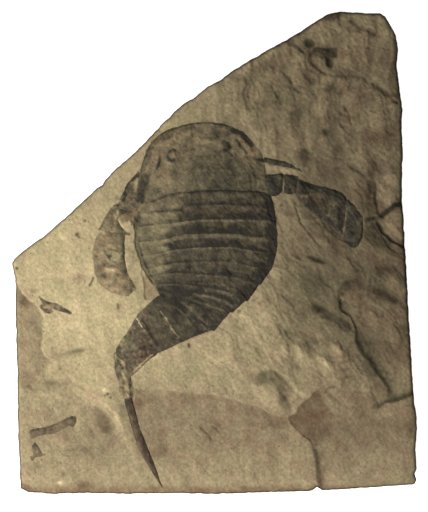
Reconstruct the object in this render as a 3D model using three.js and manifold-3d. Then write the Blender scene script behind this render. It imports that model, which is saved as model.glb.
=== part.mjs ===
// Sea scorpion fossil: the flattened shell plates of a eurypterid on a broken slab of fine dolostone.
// Millimetres, +Y towards the head and +Z out of the fossil face. The origin is the middle of the underside.

import * as THREE from "three";
import { mergeVertices } from "three/addons/utils/BufferGeometryUtils.js";
import Module from "manifold-3d";

const wasm = await Module();
wasm.setup();

// Levels and clearances
const BEDDING_Z = 17.6; // the bedding plane that carries the fossil
const POCKET_DEPTH = 0.9; // how deep the plates are let into the stone
const PLATE_GAP = 0.3; // clearance round and under each plate
const PLATE_EDGE = 0.12; // how far a plate's thin edge stands above the bedding plane
const PLATE_LIFT = 0.45; // how far the free rear edge of a plate rides over the next plate
const CARAPACE_RIM = 0.22; // height of the thickened rim round the head shield
const TRUNK_CROWN = 0.036; // height of the vaulted back, as a share of a plate's width
const PLATE_CROWN = 0.25; // the least vault of a back plate
const POCKET_RISE = 6; // the pocket cutters reach this far above the bedding plane

// Relief
const LEDGE_SLOPE = 0.8; // width of the broken face of a ledge
const LINE_FADE = 5; // a ledge dies out over this length at each end
const BROAD_SWELL = 0.2; // height of the gentle swells of the bedding plane
const FINE_SWELL = 0.1; // height of the smaller swells on top of them

// Steps of the faceted surfaces
const STONE_GRID = 4.1;
const BRINK_PULL = 0.42; // share of the grid over which points are drawn to a ledge's brink
const OUTLINE_STEP = 9;
const PLATE_STEP = 3.6;
const LINE_SAMPLES = 200; // fine steps for cutting a smooth line to a share of its length
const WELD = 1e-4; // points closer than this are one point

// The broken outline of the slab, clockwise from the top right
const SLAB_OUTLINE = [
  [39.0, 83.6], [44.3, 84.7], [52.7, 84.1], [58.3, 84.0], [60.0, 82.7], [63.7, 76.3], [64.5, 71.7],
  [64.0, 66.5], [64.9, 58.4], [66.1, 49.7], [65.7, 43.4], [66.1, 34.6], [65.8, 19.9], [66.7, 7.3],
  [67.4, -4.8], [68.0, -18.3], [68.9, -33.2], [70.0, -50.5], [70.9, -56.8], [71.2, -60.3],
  [70.6, -69.0], [70.9, -75.7], [70.3, -77.4], [70.9, -79.7], [70.3, -81.3], [56.9, -82.3],
  [42.9, -83.2], [38.2, -83.5], [35.8, -82.0], [33.4, -83.8], [23.5, -83.9], [12.4, -84.3],
  [0.2, -84.7], [-15.6, -84.4], [-30.1, -84.7], [-44.1, -84.3], [-56.4, -84.7], [-65.4, -84.1],
  [-68.1, -82.7], [-68.4, -75.0], [-69.1, -60.3], [-69.1, -45.9], [-69.7, -28.2], [-69.9, -8.8],
  [-70.7, -6.0], [-71.2, -3.4], [-70.2, -2.1], [-66.4, 1.4], [-60.0, 5.8], [-52.4, 12.4],
  [-46.0, 18.3], [-41.1, 22.9], [-39.4, 23.7], [-38.5, 25.5], [-35.0, 29.3], [-29.8, 33.6],
  [-24.0, 39.2], [-19.9, 43.8], [-14.7, 49.0], [-11.5, 51.9], [-6.0, 55.4], [-2.5, 58.3],
  [1.9, 60.6], [6.5, 64.1], [12.9, 67.9], [21.0, 72.5], [24.5, 74.3], [29.8, 77.5], [35.5, 81.3],
];

// Broken sides: each level draws the outline in by inset, and by up to rough more in a wandering way.
const SIDE_LEVELS = [
  { z: 0, inset: 0.9, rough: 0.6 },
  { z: 3.2, inset: 0.2, rough: 0.9 },
  { z: 8.0, inset: 0, rough: 0 },
  { z: 8.9, inset: 0.7, rough: 0.7 },
  { z: 12.6, inset: 0.1, rough: 0.7 },
  { z: 13.4, inset: 0.6, rough: 0.5 },
  { z: 22.0, inset: 0.3, rough: 0.4 },
];

// Worn top edge: how deep and how wide it is where the side looks right or down, and the least share elsewhere
const EDGE_WEAR = { depth: 1.8, width: 5.0, least: 0.3 };

// Ledges where a thin layer has flaked off: the ground right of the line, walking along it, is lower by drop
// at the line and comes back up over reach.
const LEDGES = [
  // the sharp step down the right side
  {
    line: [[59.7, -50.2], [59.0, -46.3], [56.9, -41.7], [53.7, -36.8], [51.6, -34.0], [48.5, -26.3],
      [45.7, -22.8], [43.2, -19.0], [43.4, -16.5], [44.3, -13.7], [46.0, -10.9], [49.9, -9.2]],
    drop: 1.7,
    reach: 12,
  },
  // the hollow above the corner at the right edge
  { line: [[78, -48.8], [70, -49.4], [65, -50.2], [59.7, -51.5], [54, -54]], drop: 1.0, reach: 6 },
  // the lower layer in the bottom right corner
  {
    line: [[34.5, -90], [35.8, -82.3], [36.6, -79.5], [35.9, -76.0], [34.3, -70], [32.7, -64.5],
      [29.2, -61.3], [26.7, -57.8], [28.5, -55.4], [31.6, -51.5], [35.8, -46.3], [40.4, -48.0],
      [45.7, -52.2], [51.6, -54.7]],
    drop: 1.2,
    reach: 16,
  },
  // the smooth layer along the bottom
  {
    line: [[-28.2, -46.0], [-17.3, -47.3], [0.2, -48.7], [8.9, -49.8], [16.6, -51.5], [22.9, -53.3],
      [26.7, -57.8]],
    drop: 0.6,
    reach: 20,
  },
  // the slanting ledge left of the tail spine
  { line: [[-52, -37.5], [-44.9, -45.6], [-34.8, -54.3], [-31.2, -60], [-29, -68]], drop: 0.9, reach: 11 },
  // the flaked strip along the left edge
  { line: [[-66, -9], [-62.3, -13.6], [-60.4, -20], [-60.6, -32], [-63.6, -41.1]], drop: 0.6, reach: 9 },
];

// Lumps and hollows: centre, the two half widths and the height
const LUMPS = [
  { x: 18.7, y: -49.0, rx: 5.0, ry: 6.5, height: 1.2 },
  { x: 37.3, y: 67.6, rx: 3.0, ry: 2.6, height: 0.6 },
  { x: -37.3, y: -49.2, rx: 2.2, ry: 2.2, height: 0.6 },
  { x: 47.0, y: -14.5, rx: 3.4, ry: 3.0, height: 0.5 },
  { x: 32.7, y: 74.1, rx: 2.3, ry: 1.7, height: -0.9 },
  { x: 37.6, y: 71.4, rx: 4.2, ry: 1.7, height: -0.8 },
  { x: 59.7, y: -6.0, rx: 4.2, ry: 3.2, height: -1.0 },
  { x: 61.8, y: -16.0, rx: 5.0, ry: 2.2, height: -0.8 },
  { x: 38.7, y: -21.0, rx: 5.2, ry: 3.6, height: -0.8 },
  { x: 52.6, y: 12.0, rx: 2.4, ry: 12.0, height: -0.9 },
  { x: -49.9, y: -34.0, rx: 6.0, ry: 2.0, height: -0.7 },
  { x: -45.0, y: -8.6, rx: 4.0, ry: 2.4, height: -0.4 },
  { x: -58.9, y: -46.0, rx: 4.0, ry: 2.4, height: -0.5 },
  { x: 51.0, y: 77.0, rx: 5.0, ry: 3.0, height: -0.6 },
];

// Open cracks: the line, the width at the surface and the depth
const CRACKS = [
  { line: [[57.4, 29.4], [55.7, 23.8], [55.9, 16.8], [56.6, 13.4]], width: 2.0, depth: 1.2 },
  { line: [[56.6, 13.4], [60.4, 16.2], [69.5, 20.6]], width: 1.7, depth: 1.1 },
  { line: [[56.6, 13.4], [58.6, 6.6], [62.6, 3.6], [70.5, 2.6]], width: 1.7, depth: 1.1 },
  {
    line: [[24.7, 74.2], [29.2, 70.7], [32.7, 68.9], [35.2, 65.1], [39.7, 62.3], [49.5, 61.9], [54.1, 58.1]],
    width: 1.6,
    depth: 0.9,
  },
  { line: [[28.6, 16.6], [29.8, 12.2], [33.8, 5.3], [37.0, 3.1]], width: 1.2, depth: 0.7 },
  { line: [[9.3, 64.0], [11.4, 59.8], [10.0, 52.8], [11.4, 50.7]], width: 1.6, depth: 0.8 },
];
const CRACK_TOP = 3; // the cutters reach this far above the ground

// Head shield: its outer margin from the left rear corner round the front, and its straight rear edge
const CARAPACE_MARGIN = [
  [-26.1, 18.9], [-26.1, 22.0], [-26.1, 28.3], [-25.1, 32.2], [-22.6, 38.1], [-19.1, 41.6], [-14.9, 43.5],
  [-10.7, 44.8], [-6.5, 45.6], [-1.6, 45.7], [3.7, 44.9], [8.9, 42.8], [11.0, 41.3], [13.8, 38.1],
  [16.6, 33.9], [17.7, 29.7], [18.0, 26.9], [18.4, 23.4], [19.3, 20.9],
];
const CARAPACE_REAR = [
  [-26.1, 17.5], [-20.7, 18.5], [-15.9, 20.1], [-11.1, 20.9], [-5.1, 21.5], [3.7, 21.9], [9.3, 21.7],
  [16.6, 21.3], [19.8, 19.9],
];
const CARAPACE_ROWS = [0, 0.25, 0.5, 0.72, 0.88, 0.95, 1]; // from the rear edge to the margin
const RIM_START = 0.9; // the rim is the part past this share of the way
const EYES = [[-14.9, 33.6], [3.5, 37.1]];
const EYE_SIZE = [1.7, 2.3, 0.7]; // half width, half length and height of each eye's dome
const EYE_FACETS = [10, 6];

// Rear margins of the back plates from the trunk's left edge to its right edge. The next plate starts at the
// one before, and reach is the share of that margin that it spans before its own corner juts out.
const TERGITES = [
  { reach: 1, rear: [[-25.7, 14.0], [-18.4, 14.4], [-11.7, 15.4], [-3.7, 16.8], [11.0, 16.6], [20.6, 16.4]] },
  { reach: 1, rear: [[-25.7, 9.2], [-18.4, 10.0], [-8.9, 11.1], [-3.7, 11.6], [11.0, 11.6], [21.5, 11.2]] },
  { reach: 1, rear: [[-25.4, 3.8], [-18.4, 4.6], [-11.0, 6.3], [-5.8, 6.6], [7.5, 6.6], [21.9, 5.2]] },
  { reach: 1, rear: [[-24.5, -1.1], [-18.4, 0], [-10.3, 1.5], [1.9, 2.0], [11.4, 1.1], [21.5, -0.4]] },
  { reach: 1, rear: [[-22.9, -5.5], [-14.9, -3.7], [-7.4, -3.2], [0.2, -3.0], [7.5, -3.4], [19.8, -5.8]] },
  { reach: 0.96, rear: [[-21.7, -8.1], [-13.3, -7.0], [-1.9, -7.8], [7.5, -8.6], [10.3, -9.7], [16.1, -11.1]] },
  { reach: 0.96, rear: [[-20.5, -10.7], [-12.2, -11.0], [-1.5, -12.3], [7.5, -14.5], [11.5, -17.0]] },
  { reach: 0.93, rear: [[-19.6, -13.2], [-11.8, -15.2], [-3.7, -17.6], [6.1, -20.9]] },
  { reach: 0.93, rear: [[-19.2, -14.8], [-13.7, -19.0], [-8.1, -22.2], [-5.2, -24.5], [-0.2, -27.4]] },
  { reach: 0.87, rear: [[-21.7, -16.5], [-18.5, -21.9], [-14.1, -27.1], [-11.4, -31.2]] },
  { reach: 0.98, rear: [[-27.4, -22.2], [-23.0, -28.2], [-21.1, -31.1], [-19.6, -35.1]] },
];
const TERGITE_ROWS = [0, 0.55, 1]; // from the front edge to the rear margin
const PRETELSON = { reach: 0.97, rear: [[-34.5, -34.5], [-32.9, -36.3], [-30.4, -37.7], [-29.3, -43.1]] };

// Every other piece of shell lies between two edges that run the same way.
const PIECES = [
  {
    name: "telson_base",
    crown: 0.5,
    one: [[-34.5, -38.4], [-35.0, -40.6], [-33.2, -45.2], [-32.5, -50.6]],
    other: [[-31.0, -38.6], [-30.5, -41.6], [-29.8, -45.2], [-29.0, -50.6]],
  },
  {
    name: "telson",
    crown: 0.55,
    one: [[-31.1, -51.0], [-30.4, -55.4], [-29.0, -61.0], [-27.4, -66.2], [-24.4, -73.2], [-18.8, -82.0]],
    other: [[-29.0, -51.0], [-27.9, -55.4], [-26.1, -61.0], [-24.4, -66.2], [-20.4, -77.1], [-18.4, -81.8]],
  },
  {
    name: "left_leg_base",
    crown: 0.35,
    one: [[-26.7, 28.1], [-29.6, 25.8], [-31.7, 22.0], [-33.1, 17.4], [-35.6, 16.2]],
    other: [[-26.5, 26.9], [-26.6, 23.7], [-26.7, 19.9], [-26.9, 16.4], [-30.3, 15.5]],
  },
  {
    name: "left_leg_segment",
    crown: 0.4,
    one: [[-36.1, 15.7], [-37.3, 14.0], [-39.8, 9.8], [-40.3, 7.8]],
    other: [[-30.7, 15.0], [-32.9, 12.9], [-33.6, 11.2], [-32.6, 7.7]],
  },
  {
    name: "left_paddle",
    crown: 0.5,
    one: [[-39.4, 7.4], [-42.0, 3.5], [-42.7, -1.5], [-41.2, -9.5], [-37.7, -13.0], [-30.7, -15.4]],
    other: [[-32.4, 7.2], [-31.4, 5.2], [-31.4, -1.8], [-30.8, -5.3], [-27.7, -12.3], [-29.3, -14.9]],
  },
  {
    name: "right_leg_base",
    crown: 0.4,
    one: [[18.5, 27.0], [18.8, 24.2], [19.5, 21.8], [20.6, 19.8]],
    other: [[23.8, 27.4], [23.6, 24.1], [22.8, 20.6]],
  },
  {
    name: "right_leg_knee",
    crown: 0.35,
    one: [[24.5, 27.0], [24.4, 20.8]],
    other: [[28.6, 26.4], [28.7, 25.0], [28.1, 21.0]],
  },
  {
    name: "right_leg_segment",
    crown: 0.6,
    one: [[29.3, 25.2], [31.4, 24.8], [37.0, 23.2], [41.0, 22.4], [45.2, 19.9]],
    other: [[29.0, 20.6], [32.9, 14.4], [37.7, 11.3], [42.0, 8.4], [43.9, 6.6]],
  },
  {
    name: "right_paddle",
    crown: 0.45,
    one: [[46.1, 18.4], [46.3, 15.5], [46.0, 11.0], [45.4, 5.6], [46.4, 2.9]],
    other: [[47.0, 18.3], [50.8, 14.5], [51.9, 11.0], [51.4, 4.9], [48.7, 1.7]],
  },
  {
    name: "walking_leg",
    crown: 0.3,
    one: [[17.6, 33.4], [18.6, 32.7], [22.2, 32.3], [25.8, 31.3], [30.8, 28.4]],
    other: [[18.0, 31.9], [18.9, 31.1], [22.2, 30.5], [25.8, 29.9], [30.8, 28.1]],
  },
  {
    name: "cuticle_strip",
    crown: 0.2,
    one: [[-65.0, -62.2], [-56.9, -59.9], [-51.8, -57.8], [-49.0, -57.5]],
    other: [[-64.7, -64.7], [-60.1, -63.8], [-52.5, -61.0], [-48.7, -59.9]],
  },
  {
    name: "cuticle_chip",
    crown: 0.2,
    one: [[-63.6, -66.5], [-62.6, -69.7], [-64.1, -72.2]],
    other: [[-62.9, -66.7], [-60.6, -69.6], [-61.6, -72.0]],
  },
  {
    name: "cuticle_twig",
    crown: 0.2,
    one: [[-61.2, -18.1], [-56.2, -17.9], [-53.1, -19.0], [-49.9, -20.7]],
    other: [[-60.9, -19.3], [-58.3, -20.5], [-54.1, -20.4], [-50.1, -21.6]],
  },
];
const STRIP_COUNT = 4; // strips of facets across a piece between two edges

const DOLOSTONE = new THREE.MeshStandardMaterial({ color: 0xa08d68, roughness: 0.95, metalness: 0 });
const DARK_CUTICLE = new THREE.MeshStandardMaterial({ color: 0x4c4638, roughness: 0.7, metalness: 0 });
const PALE_CUTICLE = new THREE.MeshStandardMaterial({ color: 0x82765c, roughness: 0.8, metalness: 0 });
const PALE_PIECES = ["left_leg_base", "left_leg_segment", "left_paddle", "cuticle_strip", "telson_base"];

// Geometry and solids

function asSolid(geometry) {
  const bare = geometry.index ? geometry.toNonIndexed() : geometry.clone();
  bare.deleteAttribute("normal");
  bare.deleteAttribute("uv");
  const merged = mergeVertices(bare, WELD);
  return new wasm.Manifold(
    new wasm.Mesh({
      numProp: 3,
      vertProperties: new Float32Array(merged.attributes.position.array),
      triVerts: new Uint32Array(merged.index.array),
    }),
  );
}

function asGeometry(solid) {
  const mesh = solid.getMesh();
  const geometry = new THREE.BufferGeometry();
  geometry.setAttribute("position", new THREE.BufferAttribute(mesh.vertProperties, 3));
  geometry.setIndex(new THREE.BufferAttribute(mesh.triVerts, 1));
  geometry.computeVertexNormals();
  return geometry;
}

function facets(points, faces) {
  const geometry = new THREE.BufferGeometry();
  geometry.setAttribute("position", new THREE.Float32BufferAttribute(points.flat(), 3));
  geometry.setIndex(faces.flat());
  return geometry;
}

// Plane outlines

function smoothLine(points, count) {
  const curve = new THREE.CatmullRomCurve3(
    points.map(([x, y]) => new THREE.Vector3(x, y, 0)),
    false,
    "centripetal",
  );
  return curve.getSpacedPoints(count).map((p) => [p.x, p.y]);
}

function lineLength(points) {
  return points.slice(1).reduce((sum, [x, y], i) => sum + Math.hypot(x - points[i][0], y - points[i][1]), 0);
}

// The part of a smooth line up to a share of its length
function startOfLine(points, share, count) {
  const fine = smoothLine(points, LINE_SAMPLES);
  return smoothLine(fine.slice(0, Math.round(share * LINE_SAMPLES) + 1), count);
}

function outwardNormals(outline) {
  const turn = Math.sign(THREE.ShapeUtils.area(outline.map(([x, y]) => new THREE.Vector2(x, y))));
  return outline.map((_, i) => {
    const [ax, ay] = outline.at(i - 1);
    const [bx, by] = outline[(i + 1) % outline.length];
    const length = Math.hypot(bx - ax, by - ay);
    return [(turn * (by - ay)) / length, (turn * (ax - bx)) / length];
  });
}

function widened(outline, distance) {
  return outwardNormals(outline).map(([nx, ny], i) => [
    outline[i][0] + nx * distance,
    outline[i][1] + ny * distance,
  ]);
}

function triangulated(outline) {
  return THREE.ShapeUtils.triangulateShape(outline.map(([x, y]) => new THREE.Vector2(x, y)), []);
}

// Adds points so that no straight run of a closed outline is longer than the step
function divided(outline, step) {
  return outline.flatMap(([x, y], i) => {
    const [nx, ny] = outline[(i + 1) % outline.length];
    const parts = Math.ceil(Math.hypot(nx - x, ny - y) / step);
    return Array.from({ length: parts }, (_, k) => [x + ((nx - x) * k) / parts, y + ((ny - y) * k) / parts]);
  });
}

// Where a point lies beside a line: the distance, the side, the nearest place on the line, the line's heading
// there and a fade towards its ends
function besideLine(line, x, y) {
  let nearest = { distance: Infinity };
  const whole = lineLength(line);
  let walked = 0;
  for (let i = 1; i < line.length; i++) {
    const [ax, ay] = line[i - 1];
    const dx = line[i][0] - ax;
    const dy = line[i][1] - ay;
    const run = Math.hypot(dx, dy);
    const share = THREE.MathUtils.clamp(((x - ax) * dx + (y - ay) * dy) / (run * run), 0, 1);
    const offX = x - ax - share * dx;
    const offY = y - ay - share * dy;
    const distance = Math.hypot(offX, offY);
    if (distance < nearest.distance) {
      const along = walked + share * run;
      nearest = {
        distance,
        right: dx * offY - dy * offX < 0,
        place: [x - offX, y - offY],
        heading: [dx / run, dy / run],
        fade: Math.min(1, along / LINE_FADE, (whole - along) / LINE_FADE),
      };
    }
    walked += run;
  }
  return nearest;
}

// Stone

function ledgeDepth({ line, drop, reach }, x, y) {
  const { distance, right, fade } = besideLine(line, x, y);
  const foot = Math.min(1, distance / LEDGE_SLOPE);
  return right ? drop * fade * foot * Math.exp(-distance / reach) : 0;
}

function lumpHeight({ x: cx, y: cy, rx, ry, height }, x, y) {
  return height * Math.exp(-(((x - cx) / rx) ** 2) - ((y - cy) / ry) ** 2);
}

function edgeDepth(x, y) {
  const { distance, heading } = besideLine([...SLAB_OUTLINE, SLAB_OUTLINE[0]], x, y);
  const exposed = Math.max(EDGE_WEAR.least, -heading[1], -heading[0]);
  return EDGE_WEAR.depth * exposed * Math.max(0, 1 - distance / (EDGE_WEAR.width * exposed)) ** 2;
}

// Waves of no particular pattern, so that the bedding plane isn't dead flat
function unevenness(x, y) {
  const broad = Math.sin(0.16 * x + 0.8 * Math.sin(0.11 * y)) * Math.cos(0.13 * y + 0.5);
  const fine = Math.sin(0.61 * x - 0.43 * y + 1.3) * Math.sin(0.37 * x + 0.58 * y);
  return BROAD_SWELL * broad + FINE_SWELL * fine;
}

function stoneTop(x, y) {
  const ledges = LEDGES.reduce((sum, ledge) => sum + ledgeDepth(ledge, x, y), 0);
  const lumps = LUMPS.reduce((sum, lump) => sum + lumpHeight(lump, x, y), 0);
  return BEDDING_Z + unevenness(x, y) - ledges + lumps - edgeDepth(x, y);
}

// Moves a grid point that is close to a ledge onto its brink, so that the brink runs true
function onNearLedge(x, y) {
  const near = LEDGES.map(({ line }) => besideLine(line, x, y)).filter(
    ({ distance, fade }) => distance < BRINK_PULL * STONE_GRID && fade > 0,
  );
  return near.length ? near.reduce((a, b) => (a.distance < b.distance ? a : b)).place : [x, y];
}

// A block whose upper face is the relief of the stone, wider than the slab and reaching below it
function reliefBlock() {
  const half = { x: 75, y: 88 };
  const floor = -5;
  const across = Math.ceil((2 * half.x) / STONE_GRID);
  const along = Math.ceil((2 * half.y) / STONE_GRID);
  const points = [];
  for (let j = 0; j <= along; j++) {
    for (let i = 0; i <= across; i++) {
      const column = -half.x + (2 * half.x * i) / across;
      const row = -half.y + (2 * half.y * j) / along;
      const [x, y] = onNearLedge(column, row);
      points.push([x, y, stoneTop(x, y)]);
    }
  }
  const at = (i, j) => j * (across + 1) + i;
  const faces = [];
  for (let j = 0; j < along; j++) {
    for (let i = 0; i < across; i++) {
      faces.push([at(i, j), at(i + 1, j), at(i + 1, j + 1)], [at(i, j), at(i + 1, j + 1), at(i, j + 1)]);
    }
  }
  const rim = [];
  for (let i = 0; i < across; i++) rim.push(at(i, 0));
  for (let j = 0; j < along; j++) rim.push(at(across, j));
  for (let i = across; i > 0; i--) rim.push(at(i, along));
  for (let j = along; j > 0; j--) rim.push(at(0, j));
  closeBelow(points, faces, rim, floor);
  return asSolid(facets(points, faces));
}

// Adds a wall down from a rim that runs anticlockwise seen from above, and a flat bottom
function closeBelow(points, faces, rim, floor) {
  const base = points.length;
  rim.forEach((p) => points.push([points[p][0], points[p][1], floor]));
  rim.forEach((p, k) => {
    const next = (k + 1) % rim.length;
    faces.push([p, base + k, base + next], [p, base + next, rim[next]]);
  });
  triangulated(rim.map((p) => points[p])).forEach(([a, b, c]) => faces.push([base + a, base + c, base + b]));
}

// The slab's own outline as a prism with rough broken sides
function brokenPrism() {
  const outline = divided(SLAB_OUTLINE, OUTLINE_STEP).reverse();
  const normals = outwardNormals(outline);
  const points = [];
  SIDE_LEVELS.forEach(({ z, inset, rough }, level) => {
    outline.forEach(([x, y], i) => {
      const [nx, ny] = normals[i];
      // an uneven share between 0 and 1, so that the sides look broken
      const wander = 0.5 + 0.3 * Math.sin(i * 1.9 + level * 2.3) + 0.2 * Math.sin(i * 0.6 + level);
      const draw = inset + rough * wander;
      points.push([x - nx * draw, y - ny * draw, z]);
    });
  });
  const count = outline.length;
  const faces = [];
  for (let level = 1; level < SIDE_LEVELS.length; level++) {
    outline.forEach((_, i) => {
      const a = (level - 1) * count + i;
      const b = (level - 1) * count + ((i + 1) % count);
      faces.push([a, b, b + count], [a, b + count, a + count]);
    });
  }
  const top = (SIDE_LEVELS.length - 1) * count;
  triangulated(points.slice(0, count)).forEach(([a, b, c]) => faces.push([a, c, b]));
  triangulated(points.slice(top)).forEach(([a, b, c]) => faces.push([top + a, top + b, top + c]));
  return asSolid(facets(points, faces));
}

// A V-shaped cutter along a crack
function crackCutter({ line, width, depth }) {
  const spread = (width / 2) * ((depth + CRACK_TOP) / depth);
  const points = line.flatMap(([x, y], i) => {
    const [ax, ay] = line[Math.max(0, i - 1)];
    const [bx, by] = line[Math.min(line.length - 1, i + 1)];
    const run = Math.hypot(bx - ax, by - ay);
    const nx = ((ay - by) / run) * spread;
    const ny = ((bx - ax) / run) * spread;
    const ground = stoneTop(x, y);
    const top = ground + CRACK_TOP;
    return [[x + nx, y + ny, top], [x - nx, y - ny, top], [x, y, ground - depth]];
  });
  const faces = [[0, 2, 1]];
  for (let i = 1; i < line.length; i++) {
    const a = 3 * (i - 1);
    const b = 3 * i;
    faces.push([a, a + 1, b + 1], [a, b + 1, b]);
    faces.push([a + 1, a + 2, b + 2], [a + 1, b + 2, b + 1]);
    faces.push([a + 2, a, b], [a + 2, b, b + 2]);
  }
  const end = 3 * (line.length - 1);
  faces.push([end, end + 1, end + 2]);
  return asSolid(facets(points, faces));
}

// Shell plates

// A thin plate between two edges that run the same way: the height above the bedding plane is given by
// height(u, v), with u along the edges and v across from one to the other.
function plateBetween(one, other, rows, height) {
  const count = one.length;
  const points = rows.flatMap((v) =>
    one.map(([x, y], i) => {
      const u = i / (count - 1);
      return [
        x + (other[i][0] - x) * v,
        y + (other[i][1] - y) * v,
        BEDDING_Z + PLATE_EDGE + height(u, v),
      ];
    }),
  );
  const at = (i, j) => j * count + i;
  const last = rows.length - 1;
  const outline = [];
  for (let i = 0; i < count - 1; i++) outline.push(at(i, 0));
  for (let j = 0; j < last; j++) outline.push(at(count - 1, j));
  for (let i = count - 1; i > 0; i--) outline.push(at(i, last));
  for (let j = last; j > 0; j--) outline.push(at(0, j));
  const plan = outline.map((p) => new THREE.Vector2(points[p][0], points[p][1]));
  const anticlockwise = THREE.ShapeUtils.area(plan) > 0;
  const faces = [];
  for (let j = 0; j < last; j++) {
    for (let i = 0; i < count - 1; i++) {
      const quad = [at(i, j), at(i + 1, j), at(i + 1, j + 1), at(i, j + 1)];
      const [a, b, c, d] = anticlockwise ? quad : quad.reverse();
      faces.push([a, b, c], [a, c, d]);
    }
  }
  const rim = anticlockwise ? outline : outline.reverse();
  closeBelow(points, faces, rim, BEDDING_Z - POCKET_DEPTH + PLATE_GAP);
  return { solid: asSolid(facets(points, faces)), outline: rim.map((p) => [points[p][0], points[p][1]]) };
}

function pocketFor(outline) {
  const shape = new THREE.Shape(widened(outline, PLATE_GAP).map(([x, y]) => new THREE.Vector2(x, y)));
  const pocket = new THREE.ExtrudeGeometry(shape, { depth: POCKET_DEPTH + POCKET_RISE, bevelEnabled: false });
  return asSolid(pocket.translate(0, 0, BEDDING_Z - POCKET_DEPTH));
}

const arch = (u) => 1 - (2 * u - 1) ** 2;

function carapace() {
  const count = Math.round(lineLength(CARAPACE_MARGIN) / PLATE_STEP);
  const rear = smoothLine(CARAPACE_REAR, count);
  const margin = smoothLine(CARAPACE_MARGIN, count);
  const crown = TRUNK_CROWN * (rear[count][0] - rear[0][0]);
  const height = (u, v) => {
    const vault = crown * arch(u) * (Math.cos((v * Math.PI) / 2) + arch(v) / 2);
    return vault + (v > RIM_START && v < 1 ? CARAPACE_RIM : 0);
  };
  const plate = plateBetween(rear, margin, CARAPACE_ROWS, height);
  const eyes = EYES.map(([x, y]) => {
    const dome = new THREE.SphereGeometry(1, ...EYE_FACETS).rotateX(Math.PI / 2).scale(...EYE_SIZE);
    return asSolid(dome.translate(x, y, BEDDING_Z + PLATE_EDGE + crown));
  });
  return { ...plate, solid: eyes.reduce((sum, eye) => sum.add(eye), plate.solid) };
}

// One back plate: it starts just behind the margin in front of it and rises towards its own rear margin
function tergite(front, { rear, reach }) {
  const width = Math.hypot(rear.at(-1)[0] - rear[0][0], rear.at(-1)[1] - rear[0][1]);
  const count = Math.max(5, Math.round(width / PLATE_STEP));
  const behind = smoothLine(rear, count);
  const ahead = startOfLine(front, reach, count).map(([x, y], i) => {
    const dx = behind[i][0] - x;
    const dy = behind[i][1] - y;
    const share = PLATE_GAP / Math.hypot(dx, dy);
    return [x + dx * share, y + dy * share];
  });
  const crown = TRUNK_CROWN * width + PLATE_CROWN;
  return plateBetween(ahead, behind, TERGITE_ROWS, (u, v) => crown * arch(u) + PLATE_LIFT * v);
}

function pieceBetween({ one, other, crown }) {
  const count = Math.max(3, Math.round(lineLength(one) / PLATE_STEP));
  const rows = Array.from({ length: STRIP_COUNT + 1 }, (_, k) => k / STRIP_COUNT);
  return plateBetween(smoothLine(one, count), smoothLine(other, count), rows, (u, v) => crown * arch(v));
}

// The whole fossil

const plates = new Map();
plates.set("carapace", carapace());
let front = CARAPACE_REAR;
TERGITES.forEach((data, i) => {
  plates.set("tergite_" + String(i + 1).padStart(2, "0"), tergite(front, data));
  front = data.rear;
});
plates.set("pretelson", tergite(front, PRETELSON));
PIECES.forEach((data) => plates.set(data.name, pieceBetween(data)));

let stone = reliefBlock().intersect(brokenPrism());
stone = CRACKS.reduce((solid, crack) => solid.subtract(crackCutter(crack)), stone);
const pockets = [...plates.values()].map(({ outline }) => pocketFor(outline));
stone = stone.subtract(pockets.reduce((sum, pocket) => sum.add(pocket)));

const fossil = new THREE.Group();

function addMesh(name, solid, material) {
  const mesh = new THREE.Mesh(asGeometry(solid), material);
  mesh.name = name;
  fossil.add(mesh);
}

addMesh("slab", stone, DOLOSTONE);
plates.forEach(({ solid }, name) => {
  addMesh(name, solid, PALE_PIECES.includes(name) ? PALE_CUTICLE : DARK_CUTICLE);
});

export default fossil;
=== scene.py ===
"""Sea scorpion fossil: a flattened eurypterid on a broken slab of fine dolostone, seen from above.

Sizes in the lists below are millimetres, measured from the middle of the slab's underside. +X is to the right
of the fossil face, +Y runs up towards the head and +Z out of the stone.
"""

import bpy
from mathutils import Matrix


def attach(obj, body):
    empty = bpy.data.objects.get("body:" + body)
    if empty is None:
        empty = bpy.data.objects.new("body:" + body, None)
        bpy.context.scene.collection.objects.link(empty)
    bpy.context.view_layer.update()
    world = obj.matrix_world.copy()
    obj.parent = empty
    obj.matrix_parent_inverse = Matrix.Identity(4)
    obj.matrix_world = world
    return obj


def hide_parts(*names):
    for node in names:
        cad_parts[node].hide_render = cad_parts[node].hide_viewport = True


bl_info = {
    "name": "Sea Scorpion Fossil",
    "version": (1, 0, 0),
    "blender": (4, 5, 0),
    "location": "3D View > Sidebar > Fossil",
    "description": "Builds a flattened sea scorpion on its slab of dolostone",
    "category": "Add Mesh",
}

import functools
import math

import bpy
import numpy as np
from bpy.props import FloatProperty, FloatVectorProperty
from mathutils import Vector
from mathutils.geometry import delaunay_2d_cdt

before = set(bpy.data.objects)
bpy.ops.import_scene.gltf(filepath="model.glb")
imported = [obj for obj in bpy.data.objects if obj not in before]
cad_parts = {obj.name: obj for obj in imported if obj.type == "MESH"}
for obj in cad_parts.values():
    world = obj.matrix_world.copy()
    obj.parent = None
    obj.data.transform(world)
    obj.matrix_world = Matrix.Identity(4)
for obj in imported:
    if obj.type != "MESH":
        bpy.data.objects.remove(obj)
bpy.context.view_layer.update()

MM = 0.001
BEDDING_Z = 17.6  # the bedding plane that carries the fossil

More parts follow.
